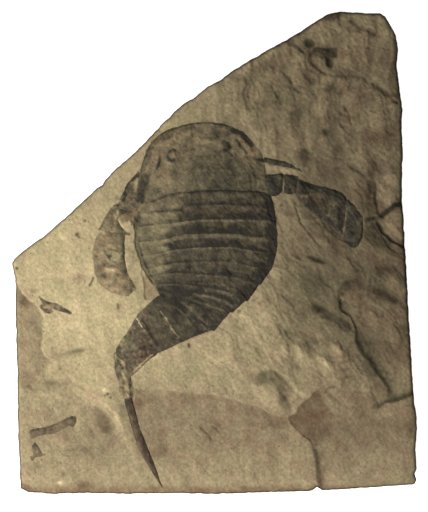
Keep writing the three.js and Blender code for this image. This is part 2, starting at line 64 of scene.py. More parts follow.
# The broken outline of the slab, clockwise from the top right
SLAB_OUTLINE = [
    (39, 83.6), (44.3, 84.7), (52.7, 84.1), (58.3, 84), (60, 82.7), (63.7, 76.3), (64.5, 71.7), (64, 66.5),
    (64.9, 58.4), (66.1, 49.7), (65.7, 43.4), (66.1, 34.6), (65.8, 19.9), (66.7, 7.3), (67.4, -4.8),
    (68, -18.3), (68.9, -33.2), (70, -50.5), (70.9, -56.8), (71.2, -60.3), (70.6, -69), (70.9, -75.7),
    (70.3, -77.4), (70.9, -79.7), (70.3, -81.3), (56.9, -82.3), (42.9, -83.2), (37.9, -83.5), (35.9, -82.1),
    (34.5, -83.6), (23.5, -83.9), (12.4, -84.3), (0.2, -84.7), (-15.6, -84.4), (-30.1, -84.7),
    (-44.1, -84.3), (-56.4, -84.7), (-65.4, -84.1), (-68.1, -82.7), (-68.4, -75), (-69.1, -60.3),
    (-69.1, -45.9), (-69.7, -28.2), (-69.9, -8.8), (-70.7, -6), (-71.2, -3.4), (-70.2, -2.1), (-66.4, 1.4),
    (-60, 5.8), (-52.4, 12.4), (-46, 18.3), (-41.1, 22.9), (-39.4, 23.7), (-38.5, 25.5), (-35, 29.3),
    (-29.8, 33.6), (-24, 39.2), (-19.9, 43.8), (-14.7, 49), (-11.5, 51.9), (-6, 55.4), (-2.5, 58.3),
    (1.9, 60.6), (6.5, 64.1), (12.9, 67.9), (21, 72.5), (24.5, 74.3), (29.8, 77.5), (35.5, 81.3),
]

# Ledges where a thin layer has flaked off. Walking along the line, the ground to the right is lower by the
# drop and comes back up over the reach. The values are the drop, the width of the slope, the reach, how
# dark its foot is (dirt and painted shade), how much darker the lower layer is (its own tone, with painted
# shadow beside the steeper steps), how far that spreads, its warmth and the line.
LEDGES = [
    # the step down the right side: a broad lower part and a crisp upper one, with painted shadow on the low
    # side
    (0.7, 2, 8, 0.5, 0.6, 4.5, -0.3, [
        (60.2, -51.4), (60, -47), (57.4, -43.4), (54.9, -40.2), (52.7, -37.4), (51.2, -35.6), (49.6, -32.6),
        (48.8, -30.8), (49.5, -28)]),
    (0.5, 0.45, 7, 0.8, 0.35, 3, 0, [
        (48.8, -30.8), (49.5, -28), (49.1, -26), (47.4, -22.6), (44.3, -20.4), (43.3, -18.6),
        (44.3, -14.8)]),
    (0.5, 1.6, 5, 0.3, 0.2, 3, 0.2, [(43.6, -17), (44.3, -14.8), (45.9, -11.2), (50.2, -10.2), (54, -11.6)]),
    # the hollow above the corner at the right edge, darkened with painted shade
    (1, 1.3, 5, 1, 0.6, 2.2, -0.3, [
        (78, -48.6), (70.2, -49.8), (64.3, -52), (60, -52.9), (57.2, -54.6), (54.6, -54.8)]),
    # the lower layer in the bottom right corner
    (0.8, 2.3, 9, 0.3, 0.45, 2.6, 0.2, [
        (34.5, -90), (35.9, -81.9), (35.4, -77.3), (34.9, -73.3), (33.9, -69.4), (33.6, -66)]),
    (0.3, 0.3, 9, 0.3, 0.6, 9, 0.5, [
        (34.4, -68.4), (33.6, -66), (30.3, -63.4), (26.7, -60), (26, -57.5), (28.5, -56), (29.2, -53.6),
        (32.3, -51.5), (35.5, -48), (38, -46.8)]),
    # the smooth layer along the bottom
    (0.4, 0.4, 14, 0.15, 0.34, 20, 0.2, [
        (-29.6, -46.4), (-28.9, -47.1), (-22.4, -47.8), (-9.7, -48.4), (0.2, -49.4), (4, -50.6),
        (9.6, -51.9), (16.3, -54.2), (20.1, -56.6), (25.9, -57.5), (27, -57.6)]),
    # the flaked strip along the left edge
    (0.3, 0.35, 7, 0.15, 0.6, 14, 0.3, [
        (-71, -9.4), (-69.6, -10.6), (-67.4, -13.4), (-65, -16.2), (-61.6, -18.8), (-60.1, -22.8),
        (-60.2, -34), (-58.8, -36.6), (-56, -38.4)]),
    # the pale slope left of the tail spine
    (0.7, 1.7, 5, 0, 0.12, 3.5, 0.1, [
        (-51.6, -42.4), (-50.4, -42.9), (-43.2, -47.6), (-38, -51.5), (-34.8, -55.4), (-32.8, -59.6)]),
    # the slopes on both sides of the forked groove at the right
    (1, 3.6, 5, 0, 0, 3, 0, [(55.6, 11.6), (53.8, 15), (53, 19.5), (52.9, 23.5), (53.2, 29)]),
    (0.9, 3, 5, 0, 0, 3, 0, [(68, -2), (62, -0.6), (57.4, 3), (54.8, 7), (54.2, 10.4)]),
    # flakes at the top right
    (0.2, 1.2, 5, 0, 0.1, 3, 0.1, [
        (58, 58), (54.4, 60.6), (52.2, 61.9), (48, 62.6), (42.2, 62.3), (38.6, 63.3)]),
    (0.4, 0.8, 5, 0.2, 0.3, 4, 0.1, [(53, 61.7), (54.2, 64.2), (53.9, 68.9), (53.2, 74.4), (53, 79)]),
    (0.4, 1, 5, 0.1, 0.2, 4, 0.1, [(11.9, 50.4), (10.9, 54.6), (11.9, 58.2), (11.2, 63)]),
    (0.4, 0.9, 4, 0.2, 0.3, 3, 0.1, [(30.4, 37.2), (32, 33.6), (31.6, 30.2)]),
    (0.4, 0.7, 4, 0.2, 0.3, 3, 0.1, [(41, 51.4), (43.6, 47), (46.4, 44.6), (50.6, 44.4)]),
]

# Grooves and open cracks: width, depth, how dark they are inside (dirt and painted shade) and the line
GROOVES = [
    # the forked groove at the right edge
    (0.9, 0.35, 1.3, [(57.9, 12.8), (57.5, 14.2), (56.5, 17.7), (56.9, 22.1), (56.3, 26.4)]),
    (2.2, 0.7, 1.8, [(57.4, 12.2), (60.7, 14.6), (63.5, 16.7), (66.3, 17.5), (69, 18.2)]),
    (1.7, 0.5, 1.6, [(52, 11.6), (54, 11.9), (57.4, 12.2)]),
    (1.1, 0.5, 2, [(56.8, 11.2), (59.2, 6.7), (62.1, 4.1), (65.8, 2.2), (69, 1)]),
    # flaked streaks at the top right
    (2, 0.25, 0.3, [(25.2, 74.2), (28.5, 72.9), (31.9, 69.9)]),
    (1.6, 0.3, 0.8, [
        (33.5, 69.5), (34.3, 65.9), (37.5, 63), (42.5, 61.6), (48.3, 61.9), (52.7, 60.9), (54.5, 58.7)]),
    (1.7, 0.25, 0.3, [(34.4, 70.7), (37.2, 71.6), (41.4, 71.2), (42.6, 69.6), (42.4, 68)]),
    (1, 0.3, 0.8, [(53.3, 72.4), (54, 67), (54, 63)]),
    (2.2, 0.45, 1, [(54.1, 60.2), (58.4, 57.2), (61.3, 54.3)]),
    (1.3, 0.4, 1.2, [(61.3, 54.6), (63, 52.6), (65.6, 52)]),
    (1.5, 0.4, 1, [(10.1, 63), (11.2, 59.4), (10.1, 55), (11.6, 50.7), (15.2, 51)]),
    (1.6, 0.4, 1, [(23.1, 64), (26, 61.5), (28.2, 57.9), (30.6, 55.8)]),
    (1.2, 0.3, 0.7, [(19.2, 60.1), (20.9, 56.5), (23.8, 52.2)]),
    (0.9, 0.3, 0.9, [(45.1, 52.2), (46.9, 48.6), (48.3, 43.9)]),
    (2.4, 0.4, 0.8, [(46.9, 81.7), (51, 78.6), (57, 75.9)]),
    (1.6, 0.3, 0.7, [(46.6, 30.8), (50.4, 28.4), (53.7, 26)]),
    (1.2, 0.3, 0.9, [(34.6, 31.6), (33.6, 29.4), (32.2, 27.4)]),
    (0.8, 0.2, 0.8, [(54, 49.6), (57, 49)]),
    # the crack that runs down beside the trunk
    (0.9, 0.35, 1.1, [(28, 18.4), (28.5, 15.5), (30.3, 10.4), (33.4, 5.9), (36.2, 3.1), (38.3, 1.4)]),
    (1.9, 0.3, 0.6, [(32.2, -1.3), (34.6, -1.5), (37.4, -2.5), (39.4, -3.7)]),
    # around the lower right layer and the knob
    (1, 0.35, 1.1, [(38.3, -48.8), (39.4, -47.8), (41, -46.9), (43.4, -46.9)]),
    (1.9, 0.2, 0.3, [(39.6, -48.4), (42.4, -51.2), (46, -53.6), (50.2, -54.3)]),
    (1.8, 0.3, 0.2, [(20.4, -40.8), (24.3, -44.2), (28.2, -48.7), (31.6, -51.2)]),
    (1.8, 0.15, 0.1, [(22.6, -47.4), (25.2, -50.6), (27, -54.6), (26.4, -57)]),
    (0.8, 0.3, 0.6, [(-9.8, -45.4), (-9.4, -48.2)]),
    (0.8, 0.3, 0.6, [(-1.8, -45.8), (-1.6, -48.6)]),
    (0.8, 0.3, 0.6, [(4, -46.6), (4.6, -49.6)]),
    (1.1, 0.3, 0.7, [(-5.8, -60.2), (-2.4, -63.4), (0, -66.4)]),
    (0.8, 0.25, 0.6, [(-1.6, -60), (1.6, -62.6), (2.4, -64)]),
    (1, 0.3, 0.6, [(-7, -62.6), (-5.2, -64.6)]),
]

# Lumps and hollows: centre, half widths, turn in degrees, height
LUMPS = [
    (18.4, -49.6, 4.2, 5.6, 25, 0.65), (22.4, -52.6, 2.6, 2.4, 0, 0.4), (37.8, 67.4, 2.4, 2.2, 0, 0.5),
    (33.3, 73.5, 1.9, 1.4, -10, -0.7), (40.4, 66.3, 1.1, 1.5, 15, -0.6), (41.4, 58.2, 1.2, 2.4, -25, -0.4),
    (39, 42.2, 1.9, 1.2, 0, -0.4), (32.4, 35, 2.4, 2.4, 0, -0.4), (57.6, 76, 1.4, 0.9, -30, -0.4),
    (62.6, 54, 2.2, 1.2, -30, 0.5), (59.2, -5.8, 2.9, 3.1, 20, -0.8), (62.6, -8.6, 2.2, 2.6, 20, 0.3),
    (58, -11.6, 7, 2.6, -12, -0.4), (61.6, -15.6, 4.6, 1.7, -25, -0.6), (48, -15, 3.2, 3.6, 0, 0.5),
    (36.4, -18.6, 2.4, 1.3, -15, -0.6), (44.3, -16.3, 0.9, 1.3, 0, -0.6), (55, -31.4, 2.6, 6, 30, -0.5),
    (-49, -34.6, 4.6, 1.5, 8, -0.5), (-56.4, -45.6, 5.8, 1.9, -5, -0.5), (-47.3, -8.6, 2.4, 1.7, 10, -0.3),
    (-36.9, -49.9, 2.2, 1.9, 0, 0.4), (-39.6, -57.8, 3.6, 3.6, 0, -0.3), (-59.8, -75.4, 3.2, 2.4, 0, -0.4),
    (-54.6, -79.4, 1.8, 1.5, 0, -0.4), (-46, -67.6, 3, 1.6, 0, -0.3), (-39, -70, 3.4, 2.4, 0, -0.3),
    (-67.2, -82.4, 3.4, 1.8, -25, -0.8), (41.1, 82.6, 2.8, 1.5, 10, -0.5), (35.2, -3.6, 3, 1, -10, 0.3),
    (25.6, -28, 3.6, 1.3, -50, -0.4), (33.6, -33, 2.6, 1.2, -45, -0.5), (40.6, -36.8, 2.6, 1.2, -40, -0.5),
    (44, -33.6, 2.4, 1.4, -40, 0.5), (39.6, -39.2, 2.2, 1.3, -40, 0.5), (28, -36.6, 3.4, 1.4, -45, -0.4),
    (30.6, -34.6, 2.2, 1.2, -45, 0.4), (36, -36, 2.4, 1, -45, 0.4), (24.6, -33.6, 2.6, 1, -50, 0.4),
    (50, 36, 2.4, 3.4, 0, 0.4), (44.6, 36.6, 1.6, 3, 0, -0.3), (28.4, 47.6, 2, 4, 0, -0.3),
    (36.4, 50.6, 2, 4.4, 10, 0.4), (47, 68, 3, 2.4, -30, 0.4), (50.6, 53.6, 2.6, 3.2, 0, 0.4),
]

# Colour of the stone: centre, half widths, turn in degrees, change of tone in stops, warmth (brown above 0,
# olive below)
STONE_TONES = [
    # broad zones: pale and dry on the left, browner and darker to the right and the top; the darkening is
    # partly the stone's own tone and partly painted shade where the light falls off
    (-50, -14, 30, 28, 0, 0.42, -0.1), (6, -40, 22, 8, 0, -0.08, 0), (52, 12, 24, 40, 0, -1.15, 0.15),
    (48, 66, 30, 24, 0, -0.55, 0.1), (14, 52, 26, 18, 25, -0.66, 0.05), (36, -16, 15, 18, 0, -0.72, -0.2),
    (58, -30, 12, 18, 0, -0.62, 0.15), (34, 16, 14, 20, 0, -0.52, 0.1), (-50, -64, 32, 20, 0, -0.38, 0.2),
    (-2, -64, 30, 16, 0, -0.2, 0.2), (50, -62, 18, 14, 0, -0.55, 0.3), (62, -74, 12, 9, 0, -0.02, -0.1),
    (-66, -26, 4, 16, 0, -0.12, 0.2), (-67, -16.4, 2.6, 2, 0, -0.4, 0.15), (66, 10, 5, 60, 0, -0.32, 0.1),
    (4, -53, 15, 3.2, -8, -0.12, 0.1), (20, -58, 8, 4, -20, -0.1, 0.1),
    # painted shade at the feet of the steps and in the hollows, and painted shadows, on the right
    (36, -19.5, 2.4, 1.5, -15, -1.25, -0.1), (54.2, -32.4, 2.4, 5.6, 32, -0.5, -0.3),
    (57.6, -40, 2, 4.2, 28, -0.4, -0.2), (61, -15.4, 5.4, 1.6, -25, -0.6, 0),
    (44.2, -16.8, 1.2, 1.3, 0, -0.7, 0), (59.8, -6.2, 3.5, 2.6, -20, -1.25, 0.4),
    (34, 29.6, 0.9, 2.2, -15, -0.6, -0.3), (67.2, -8.6, 1.4, 5.6, 0, -1.5, -0.5),
    (57.4, -11.4, 6.4, 2.6, -12, -0.25, -0.1), (36.4, -10.4, 5.4, 3.4, 0, -0.4, -0.5),
    (28, -8, 3.6, 6, 20, -0.15, -0.2), (44.6, -24.6, 5, 2.6, -28, -0.3, 0),
    (31.6, -57, 3.6, 4.2, 20, -0.1, 0.2), (37, -71, 1.8, 6.4, 4, -0.35, 0.1),
    (64.4, -50.4, 5, 1.1, 15, -0.5, -0.2), (62, -33, 5, 4.4, 0, -0.2, 0.3),
    (68.6, -61.6, 1.8, 3.6, 0, -0.6, 0.5), (53.4, 20.4, 1.4, 6, 0, -0.3, 0.1),
    # mottles between the tail and the step; the dark ones over the hollows are painted shade
    (27, -28.6, 2.8, 1, -52, -0.6, -0.4), (32.4, -32.2, 2.4, 1, -48, -0.6, -0.3),
    (41.2, -31.2, 2.2, 1.1, -40, -0.5, -0.2), (40.6, -36.6, 2.4, 1, -42, -0.6, -0.2),
    (35.4, -30.8, 2, 1, -45, -0.5, -0.4), (22, -33, 3, 1, -50, -0.35, -0.3),
    (29.6, -40.6, 3, 1.2, -50, -0.4, -0.2), (36.6, -42.6, 2.4, 1, -48, -0.4, 0.1),
    (46, -44, 4, 4.6, 0, -0.25, 0.2), (18.6, -27.4, 2.6, 0.9, -50, -0.3, -0.2),
    (45.4, -38.2, 1.4, 0.5, 15, -0.8, 0.1), (45, -41.2, 1.7, 0.5, 10, -0.7, 0.1),
    (46.6, -43.6, 1.2, 0.5, 10, -0.6, 0.1),
    # painted shade on the upper side of the knob
    (19.4, -44.6, 2.2, 1.2, 0, -0.4, -0.3),
    # marks at the left and the bottom; those over hollows are painted shade
    (-40.8, -58.4, 3.4, 2.4, -30, -0.12, 0.1), (-49.4, -34.8, 4.4, 1, 10, -0.9, 0.1),
    (-47, -34.4, 1.4, 0.7, 10, -0.5, 0.1), (-56.6, -45.6, 5, 1.2, -3, -0.65, 0.3),
    (-47.3, -8.8, 2.2, 1.8, 10, -0.45, 0.15), (-33.7, -19, 0.9, 1.4, 0, -0.4, 0.4),
    (-44.9, -69.2, 2, 1.7, 0, -0.4, 0.1), (-38.4, -69.4, 2.8, 3.2, 0, -0.35, -0.2),
    (-50, -69.4, 2.8, 1, 0, -0.35, 0.2), (-59, -74.9, 4.2, 2.6, 0, -0.4, -0.1),
    (-53.4, -77.4, 1.4, 1.3, 0, -0.5, 0.7), (-46, -81.2, 2.6, 1.5, 0, -0.55, 0.6),
    (-65.6, -82, 2.6, 1.6, -20, -0.5, 0.4), (-36.6, -63.4, 1.4, 4, 20, -0.2, 0.1),
    (-19.6, -67.4, 3.8, 4.2, 0, -0.35, 0.3), (-2, -63.6, 5, 5, 0, -0.2, 0.2),
    (-17.7, -69, 1.2, 1.2, 0, -0.4, 0.2), (-26, -50.6, 1.8, 2.6, 0, -0.2, 0.5),
    (-51, -50, 4, 1.6, -10, -0.15, 0.2), (-59, -56, 4, 2, 0, -0.1, 0.2),
    # top right; most of the dark marks lie in hollows and are painted shade there
    (41.4, 82.4, 2.9, 1.5, 5, -0.9, 0.1), (33.4, 73.5, 1.8, 1.4, -10, -0.9, 0),
    (38.4, 71.3, 3.4, 1.2, 0, -0.5, 0), (40.4, 66.3, 1.1, 1.5, 15, -1, 0.3),
    (31.6, 34.4, 2.2, 2.2, 0, -0.8, -0.2), (39, 42.2, 1.8, 1.1, 0, -0.6, -0.2),
    (41.4, 58.2, 1.1, 2.4, -25, -1.3, 0), (16.4, 64.8, 6.4, 2, 27, -0.5, 0.6),
    (57.6, 76, 1, 0.9, 0, -0.9, 0.4), (61.6, 66.6, 3, 6, 0, -0.35, 0.1), (58, 39.6, 6.4, 3.4, 0, -0.3, 0.2),
    (20.6, 56.6, 5, 4.4, -30, -0.2, -0.2), (28, 47.4, 3.6, 5, 0, -0.25, -0.3), (44, 36.6, 2, 4, 0, -0.25, 0),
    (33.4, 42.4, 1.4, 3.6, 0, -0.3, -0.2),
    # bright places; the first two are a painted highlight on the lit lower side of the knob
    (17.2, -51.8, 2.6, 3.6, 25, 0.15, -0.1), (21.6, -54, 1.8, 1.8, 0, 0.15, 0),
    (29.6, -49.6, 2.2, 1.6, -40, 0.5, 0.1), (37.9, 66.4, 1.6, 1.6, 0, 0.3, 0),
    (61.2, 23.4, 3.6, 5.2, 0, 0.32, 0.1), (62, 9.6, 3.2, 4.6, -20, 0.46, 0.1),
    (48.4, -15.6, 3, 3.2, 0, 0.5, 0.2), (23.6, 29.3, 6, 0.5, -9, 0.7, 0.3),
    (55.6, -22.6, 8, 5, -10, 0.3, 0.3), (62.4, -9.4, 1.5, 2.4, 10, 0.5, 0.1),
    (-37.6, -48.6, 1, 0.9, 0, 0.5, 0), (-38.9, -47.6, 0.7, 0.6, 0, 0.8, 0),
    (-30.6, -66, 1.4, 9, 14, 0.3, -0.2), (-14, -40.6, 12, 3.4, 4, 0, -0.2),
    (-41.6, -41.4, 6.4, 4, -35, 0.25, -0.1), (-41, -51.4, 6, 1.1, -38, 0.2, 0.1),
    (-34, -59, 1.2, 3.4, 20, 0.15, 0.1), (-29.6, 9.2, 1.6, 2, 0, 0.1, 0.1),
    (-28.8, -3, 1.6, 7.4, -10, -0.28, 0), (-27, -12, 1.4, 4, 0, -0.1, 0.1),
    (66.2, -7, 0.4, 5.4, 0, 0.7, 0.1), (61, -56.4, 5, 1.6, 12, 0.35, 0.1),
    # pale on the low ridges between the tail and the step: painted light
    (42.4, -33.8, 2.2, 1.2, -40, 0.6, -0.2), (38.6, -38.8, 2.2, 1.1, -42, 0.6, -0.2),
    (30.4, -34.8, 2.2, 0.9, -48, 0.4, -0.2), (24.6, -34.4, 2.4, 0.9, -50, 0.4, -0.2),
    (-46, -26, 6, 5, 0, 0.15, 0), (-32.8, -24.6, 3, 4, -30, 0.15, -0.2),
    (-54.4, -80.2, 1.2, 0.7, 0, 0.9, 0.2), (-22, -51.4, 2, 2.2, 0, 0.2, 0.4),
    (14.6, 54.8, 2.2, 3.4, 0, 0.35, 0), (36.6, 51, 1.8, 4, 10, 0.25, 0.1), (46, 56.6, 5, 3, -10, 0.3, 0.1),
    (20, 44, 2, 2.6, -40, 0.3, -0.1), (10, 47.2, 1.3, 1.8, 0, 0.5, 0), (31.4, 78, 4, 1.6, 35, 0.25, 0.1),
    (49.6, 34.6, 2, 3.4, 0, 0.25, 0.1), (26, 39.6, 3, 2.4, -40, 0.15, 0),
]

# Streaks and bands in the stone: change of tone, warmth, half width and the line
STONE_BANDS = [
    # the brown side of the forked groove, brown stone with painted shade where it slopes away from the light,
    # and painted shade in the dark streaks along the groove's branches
    (-0.75, 0.15, 1.6, [(55.4, 33), (54.8, 29), (54.8, 24), (55.2, 19), (56.2, 13)]),
    (-1.2, -0.1, 0.85, [(57, 11.8), (60.7, 14.6), (63.5, 16.7), (66.3, 17.5)]),
    (-1.1, -0.1, 0.6, [(56.8, 11.8), (59.2, 6.7), (62.1, 4.1), (65.8, 2.2), (68, 1.4)]),
    (-0.9, 0, 0.7, [(52.6, 11.4), (55, 11.7), (58, 12.4)]),
    # painted shade: the dark cap on the knob's upper side, and dark bands beside the steps and the grooves on
    # the right
    (-0.85, -0.1, 1.9, [
        (14, -46.6), (16.4, -43.6), (19.4, -42.6), (22.6, -45.4), (24.2, -49.6), (25.6, -54.6)]),
    (-0.6, 0, 2.1, [(47.8, -30.6), (51, -36), (54, -40.4), (56.8, -44), (59, -47.6), (59.4, -51)]),
    (-0.5, 0.1, 0.9, [(47.4, 30.4), (50.4, 28.6), (53.7, 26)]),
    (-1.05, -0.1, 1.5, [(36, -19.2), (38.6, -21.4), (42.2, -22.8), (44.8, -25.4), (47.8, -26.8)]),
    (-0.6, 0, 1, [(56.2, -12), (60, -14.4), (63.5, -17.6)]),
    (-0.75, 0.2, 1.1, [(44, -15.8), (44.1, -13.4), (45.2, -11), (47.6, -9.6), (50.6, -9.2)]),
    # below the crack, along the right flank of the trunk
    (0.3, 0, 1.2, [(33.6, -4.6), (36, -4.4), (38.6, -5.4)]),
    # painted highlights beside the tail, where the stone's edge along the shell faces the light
    (0.55, 0, 0.25, [(-19.4, -35.3), (-23.2, -38.2), (-28.3, -43.2)]),
    (0.7, 0, 0.25, [(-28.6, -49.6), (-27.6, -52.8)]),
    # curved marks in the bottom left corner
    (-0.35, 0.2, 0.8, [(-46.8, -58.6), (-44, -61.6), (-42, -65.6)]),
    (0.25, 0.1, 0.9, [(-62, -49), (-56, -49.6), (-51, -53)]),
    (-0.3, 0.3, 0.7, [(-66.4, -46), (-63.4, -47.8), (-60.4, -47.4)]),
    # flaked streaks at the top; the dark ones along grooves are painted shade
    (-0.6, 0.1, 1.3, [(47.2, 81.6), (51.6, 78.4), (57, 76)]),
    (-0.5, 0.2, 0.9, [(10.3, 63.2), (11.2, 59.4), (10.2, 55), (11.6, 51.2), (14.4, 51)]),
    (-0.4, 0.2, 1, [(52.6, 60), (58, 57), (62, 54)]),
    (0.3, 0.1, 1.1, [(36.6, 61.2), (44, 59.6), (52, 59.4)]),
    (-0.3, 0, 0.8, [(22, 49.6), (27, 48.8), (32, 49.6)]),
    (-0.35, 0, 0.6, [(28.4, 58.4), (33, 57), (36, 53)]),
    (-0.4, 0, 0.6, [(43, 49), (47.6, 47.6), (51, 47.8)]),
    (-0.7, 0, 0.5, [(53.6, 49.7), (57.4, 49.1)]),
    (-0.35, 0, 0.6, [(60, 46.6), (63, 45.8), (66, 46.2)]),
]

# Smears of shell and dirt on the bare stone: how dark, half width and the line
STONE_LINES = [
    # folds beside the trunk
    (0.55, 0.28, [(-28.1, 10.4), (-27.8, 3.8), (-27, -0.8), (-25.1, -5.5), (-22.8, -9.2), (-21.6, -11)]),
    (0.34, 0.3, [(-25.5, -5.8), (-25, -8.6), (-24.3, -11.6), (-24.7, -14.4), (-24.1, -16.6)]),
    (0.5, 0.4, [(-29.2, 9.2), (-28.6, 10.6), (-29.4, 11.6)]),
    (0.4, 0.4, [(-29.8, 13.4), (-28, 13)]),
    (0.6, 0.4, [(-32.2, 7.8), (-30.8, 6.6), (-29, 6)]),
    (0.5, 0.4, [(-27.6, 13.6), (-27.2, 11.6), (-26.6, 10.4)]),
    (0.6, 0.45, [(-29.4, 17), (-28, 16.4), (-26.8, 14.6)]),
    (0.5, 0.4, [(-32, 18.4), (-33.4, 17.6), (-34.8, 16.4)]),
    (0.45, 0.5, [(-30.6, 13.4), (-29.6, 14.6), (-28.2, 14.4)]),
    (0.35, 0.4, [(-31, 11), (-29.8, 12)]),
    # near the tail
    (0.8, 0.4, [(-9.2, -31.4), (-9, -33.6)]),
    (0.45, 0.4, [(-42.4, -8.6), (-43.6, -11), (-44.4, -12)]),
    (0.4, 0.5, [(-34.2, -17.4), (-33.9, -20.2)]),
    (0.35, 0.5, [(-28, -47.4), (-27, -49.2), (-26, -48), (-27, -46.8)]),
    (0.5, 0.35, [(-29.2, -44), (-28.8, -47), (-28.8, -51)]),
    (0.45, 0.4, [(-60.4, -70.9), (-58.6, -70.2)]),
    (0.3, 0.35, [(-54.6, -69), (-53.4, -70.6), (-50.4, -71.4), (-46.6, -70.6)]),
]

# Dark or pale patches in the stone: change of tone, warmth, softness of the edge and the outline
STONE_PATCHES = [
    # these dark patches fill hollows and grooves and are painted shade there
    (-1.15, -0.2, 0.4, [(31.2, 74.2), (32.6, 75.3), (34.6, 74.4), (35.6, 72.8), (33.6, 71.6), (31.8, 72.2)]),
    (-1.5, -0.1, 0.35, [
        (34.4, 71.6), (36.6, 72.1), (38.2, 72.1), (39.7, 71.5), (42.6, 71.6), (42.9, 70), (43.1, 68.3),
        (41.9, 68), (40.4, 68.9), (39, 68.2), (37.4, 68), (35.7, 68.9), (34.2, 69.7)]),
    (-0.5, 0.3, 0.3, [
        (33.4, 69.8), (34.6, 69.4), (35, 66.8), (36.4, 64.6), (38.4, 63), (37.6, 62.2), (35.2, 63.8),
        (33.8, 66.2), (32.4, 68.4)]),
    (-0.4, -0.2, 0.5, [(35, 68.6), (37.6, 68.2), (40, 68.2), (39.4, 65.2), (37.4, 64), (35.4, 66)]),
    (-1.2, 0.1, 0.4, [(39.2, 68.3), (40.5, 68.6), (41.9, 66.9), (41.6, 65), (40.2, 64.5), (39.2, 66)]),
    (-1.1, 0, 0.5, [
        (38.6, 81.5), (39.4, 82.6), (41.4, 84.2), (44, 84.6), (44.4, 82.9), (42.5, 81.3), (40.8, 80.9)]),
    (-0.8, 0.1, 0.35, [
        (24.6, 74.6), (26.4, 75), (28.6, 73.4), (30.4, 71.6), (32.6, 70.6), (34.4, 70.4), (33.6, 68.4),
        (31.4, 69), (28.6, 70.8), (26.2, 72.8)]),
    (-0.8, 0, 0.6, [(37.4, 42.8), (39.4, 43.4), (40.8, 42.4), (39.6, 41.2), (37.8, 41.6)]),
    # painted shade on the slope below the forked groove
    (-0.9, -0.2, 1, [
        (52.8, 9.6), (56.8, 10.8), (59.4, 6.2), (62.4, 3.4), (60.4, 1.4), (56, 1.8), (53.4, 4.8)]),
    # the pit beside the crack, dark with painted shade
    (-1.15, -0.1, 0.4, [(32.4, -1.2), (34.6, -0.9), (37, -1.7), (39.4, -3.6), (37, -3.4), (34.4, -2.5)]),
    # painted shade over the hollow and the small step further up
    (-0.7, -0.1, 0.6, [(30, 36), (32, 36.8), (33.6, 35), (32.4, 32.4), (30.4, 33)]),
    (-0.5, 0, 0.35, [(30.6, 32), (33, 33.4), (34.8, 32.6), (33.4, 30.2), (31.4, 30)]),
    (0.5, 0, 0.4, [(59.6, 13.2), (62.6, 14.8), (65, 13), (66, 8), (65.6, 4.4), (63, 5.4), (60.8, 8.4)]),
    (0.4, 0, 0.6, [(58, 27), (64.6, 27.4), (66, 20.6), (62.6, 18), (59, 15.4), (58, 19)]),
    # brown-grey stone with painted shade on the slope below the pale band
    (-0.42, 0, 0.4, [
        (-45.4, -53.2), (-42.2, -54), (-39, -56.6), (-36.4, -59.8), (-35.4, -62.4), (-37.6, -63.2),
        (-39.8, -62.8), (-41, -60.6), (-41.4, -57.6), (-43.4, -55.4)]),
    # the pale band: painted light on the slope that faces the light
    (0.42, -0.1, 0.3, [
        (-49, -46.8), (-43, -50), (-37.2, -53.4), (-33, -58), (-31.6, -62.2), (-33.4, -63), (-35.2, -60),
        (-38.6, -55.8), (-44, -52.4), (-49.6, -49)]),
    (-0.35, 0.2, 0.35, [(-67.8, -15), (-65.4, -15.4), (-64.6, -17.2), (-66.4, -18.8), (-68.2, -17.6)]),
    (-0.12, 0.1, 0.35, [
        (-31.3, 5.2), (-28.4, 5.6), (-28, 2.6), (-27.2, -1.6), (-25.6, -5.4), (-24.8, -9.4), (-25.2, -15.6),
        (-28, -16.6), (-28.4, -10.6), (-29.6, -6.8), (-31, -2.4)]),
]

# Stone that still carries a thin film of shell: how much, warmth, softness and the outline
STONE_FILMS = [
    (0.36, -0.4, 0.3, [
        (-28.2, 10.4), (-27.9, 3.8), (-27.1, -0.8), (-25.2, -5.5), (-22.6, -10), (-18, -12), (-18, 14),
        (-26.2, 14.4)]),
    (0.22, 0.45, 0.6, [
        (-22.9, -9), (-24.9, -7.6), (-24.3, -11.6), (-24.6, -16.6), (-21.6, -16.8), (-19.2, -13.6),
        (-20, -11)]),
    (0.28, 0.5, 0.6, [
        (-33.4, 17.4), (-26.2, 19.4), (-25.8, 8), (-28, 8.2), (-28.6, 10.6), (-30.2, 11.6), (-32, 10.4),
        (-33.6, 12.4)]),
    (0.25, -0.4, 0.7, [(-33.4, -52.6), (-31.4, -52.4), (-29.8, -57), (-31.4, -58.6), (-33.4, -57.4)]),
    (0.42, -0.2, 0.3, [(23.2, 27.2), (24.2, 27.2), (24.4, 20), (23.4, 20)]),
    (0.4, 0, 0.5, [(-35, -34.9), (-30.4, -37.4), (-29.6, -43), (-31.6, -39.8), (-35.2, -37.4)]),
    (0.2, 0.2, 0.5, [(-35.6, 20.4), (-34, 20), (-33.4, 18.6), (-35.4, 18.6)]),
]

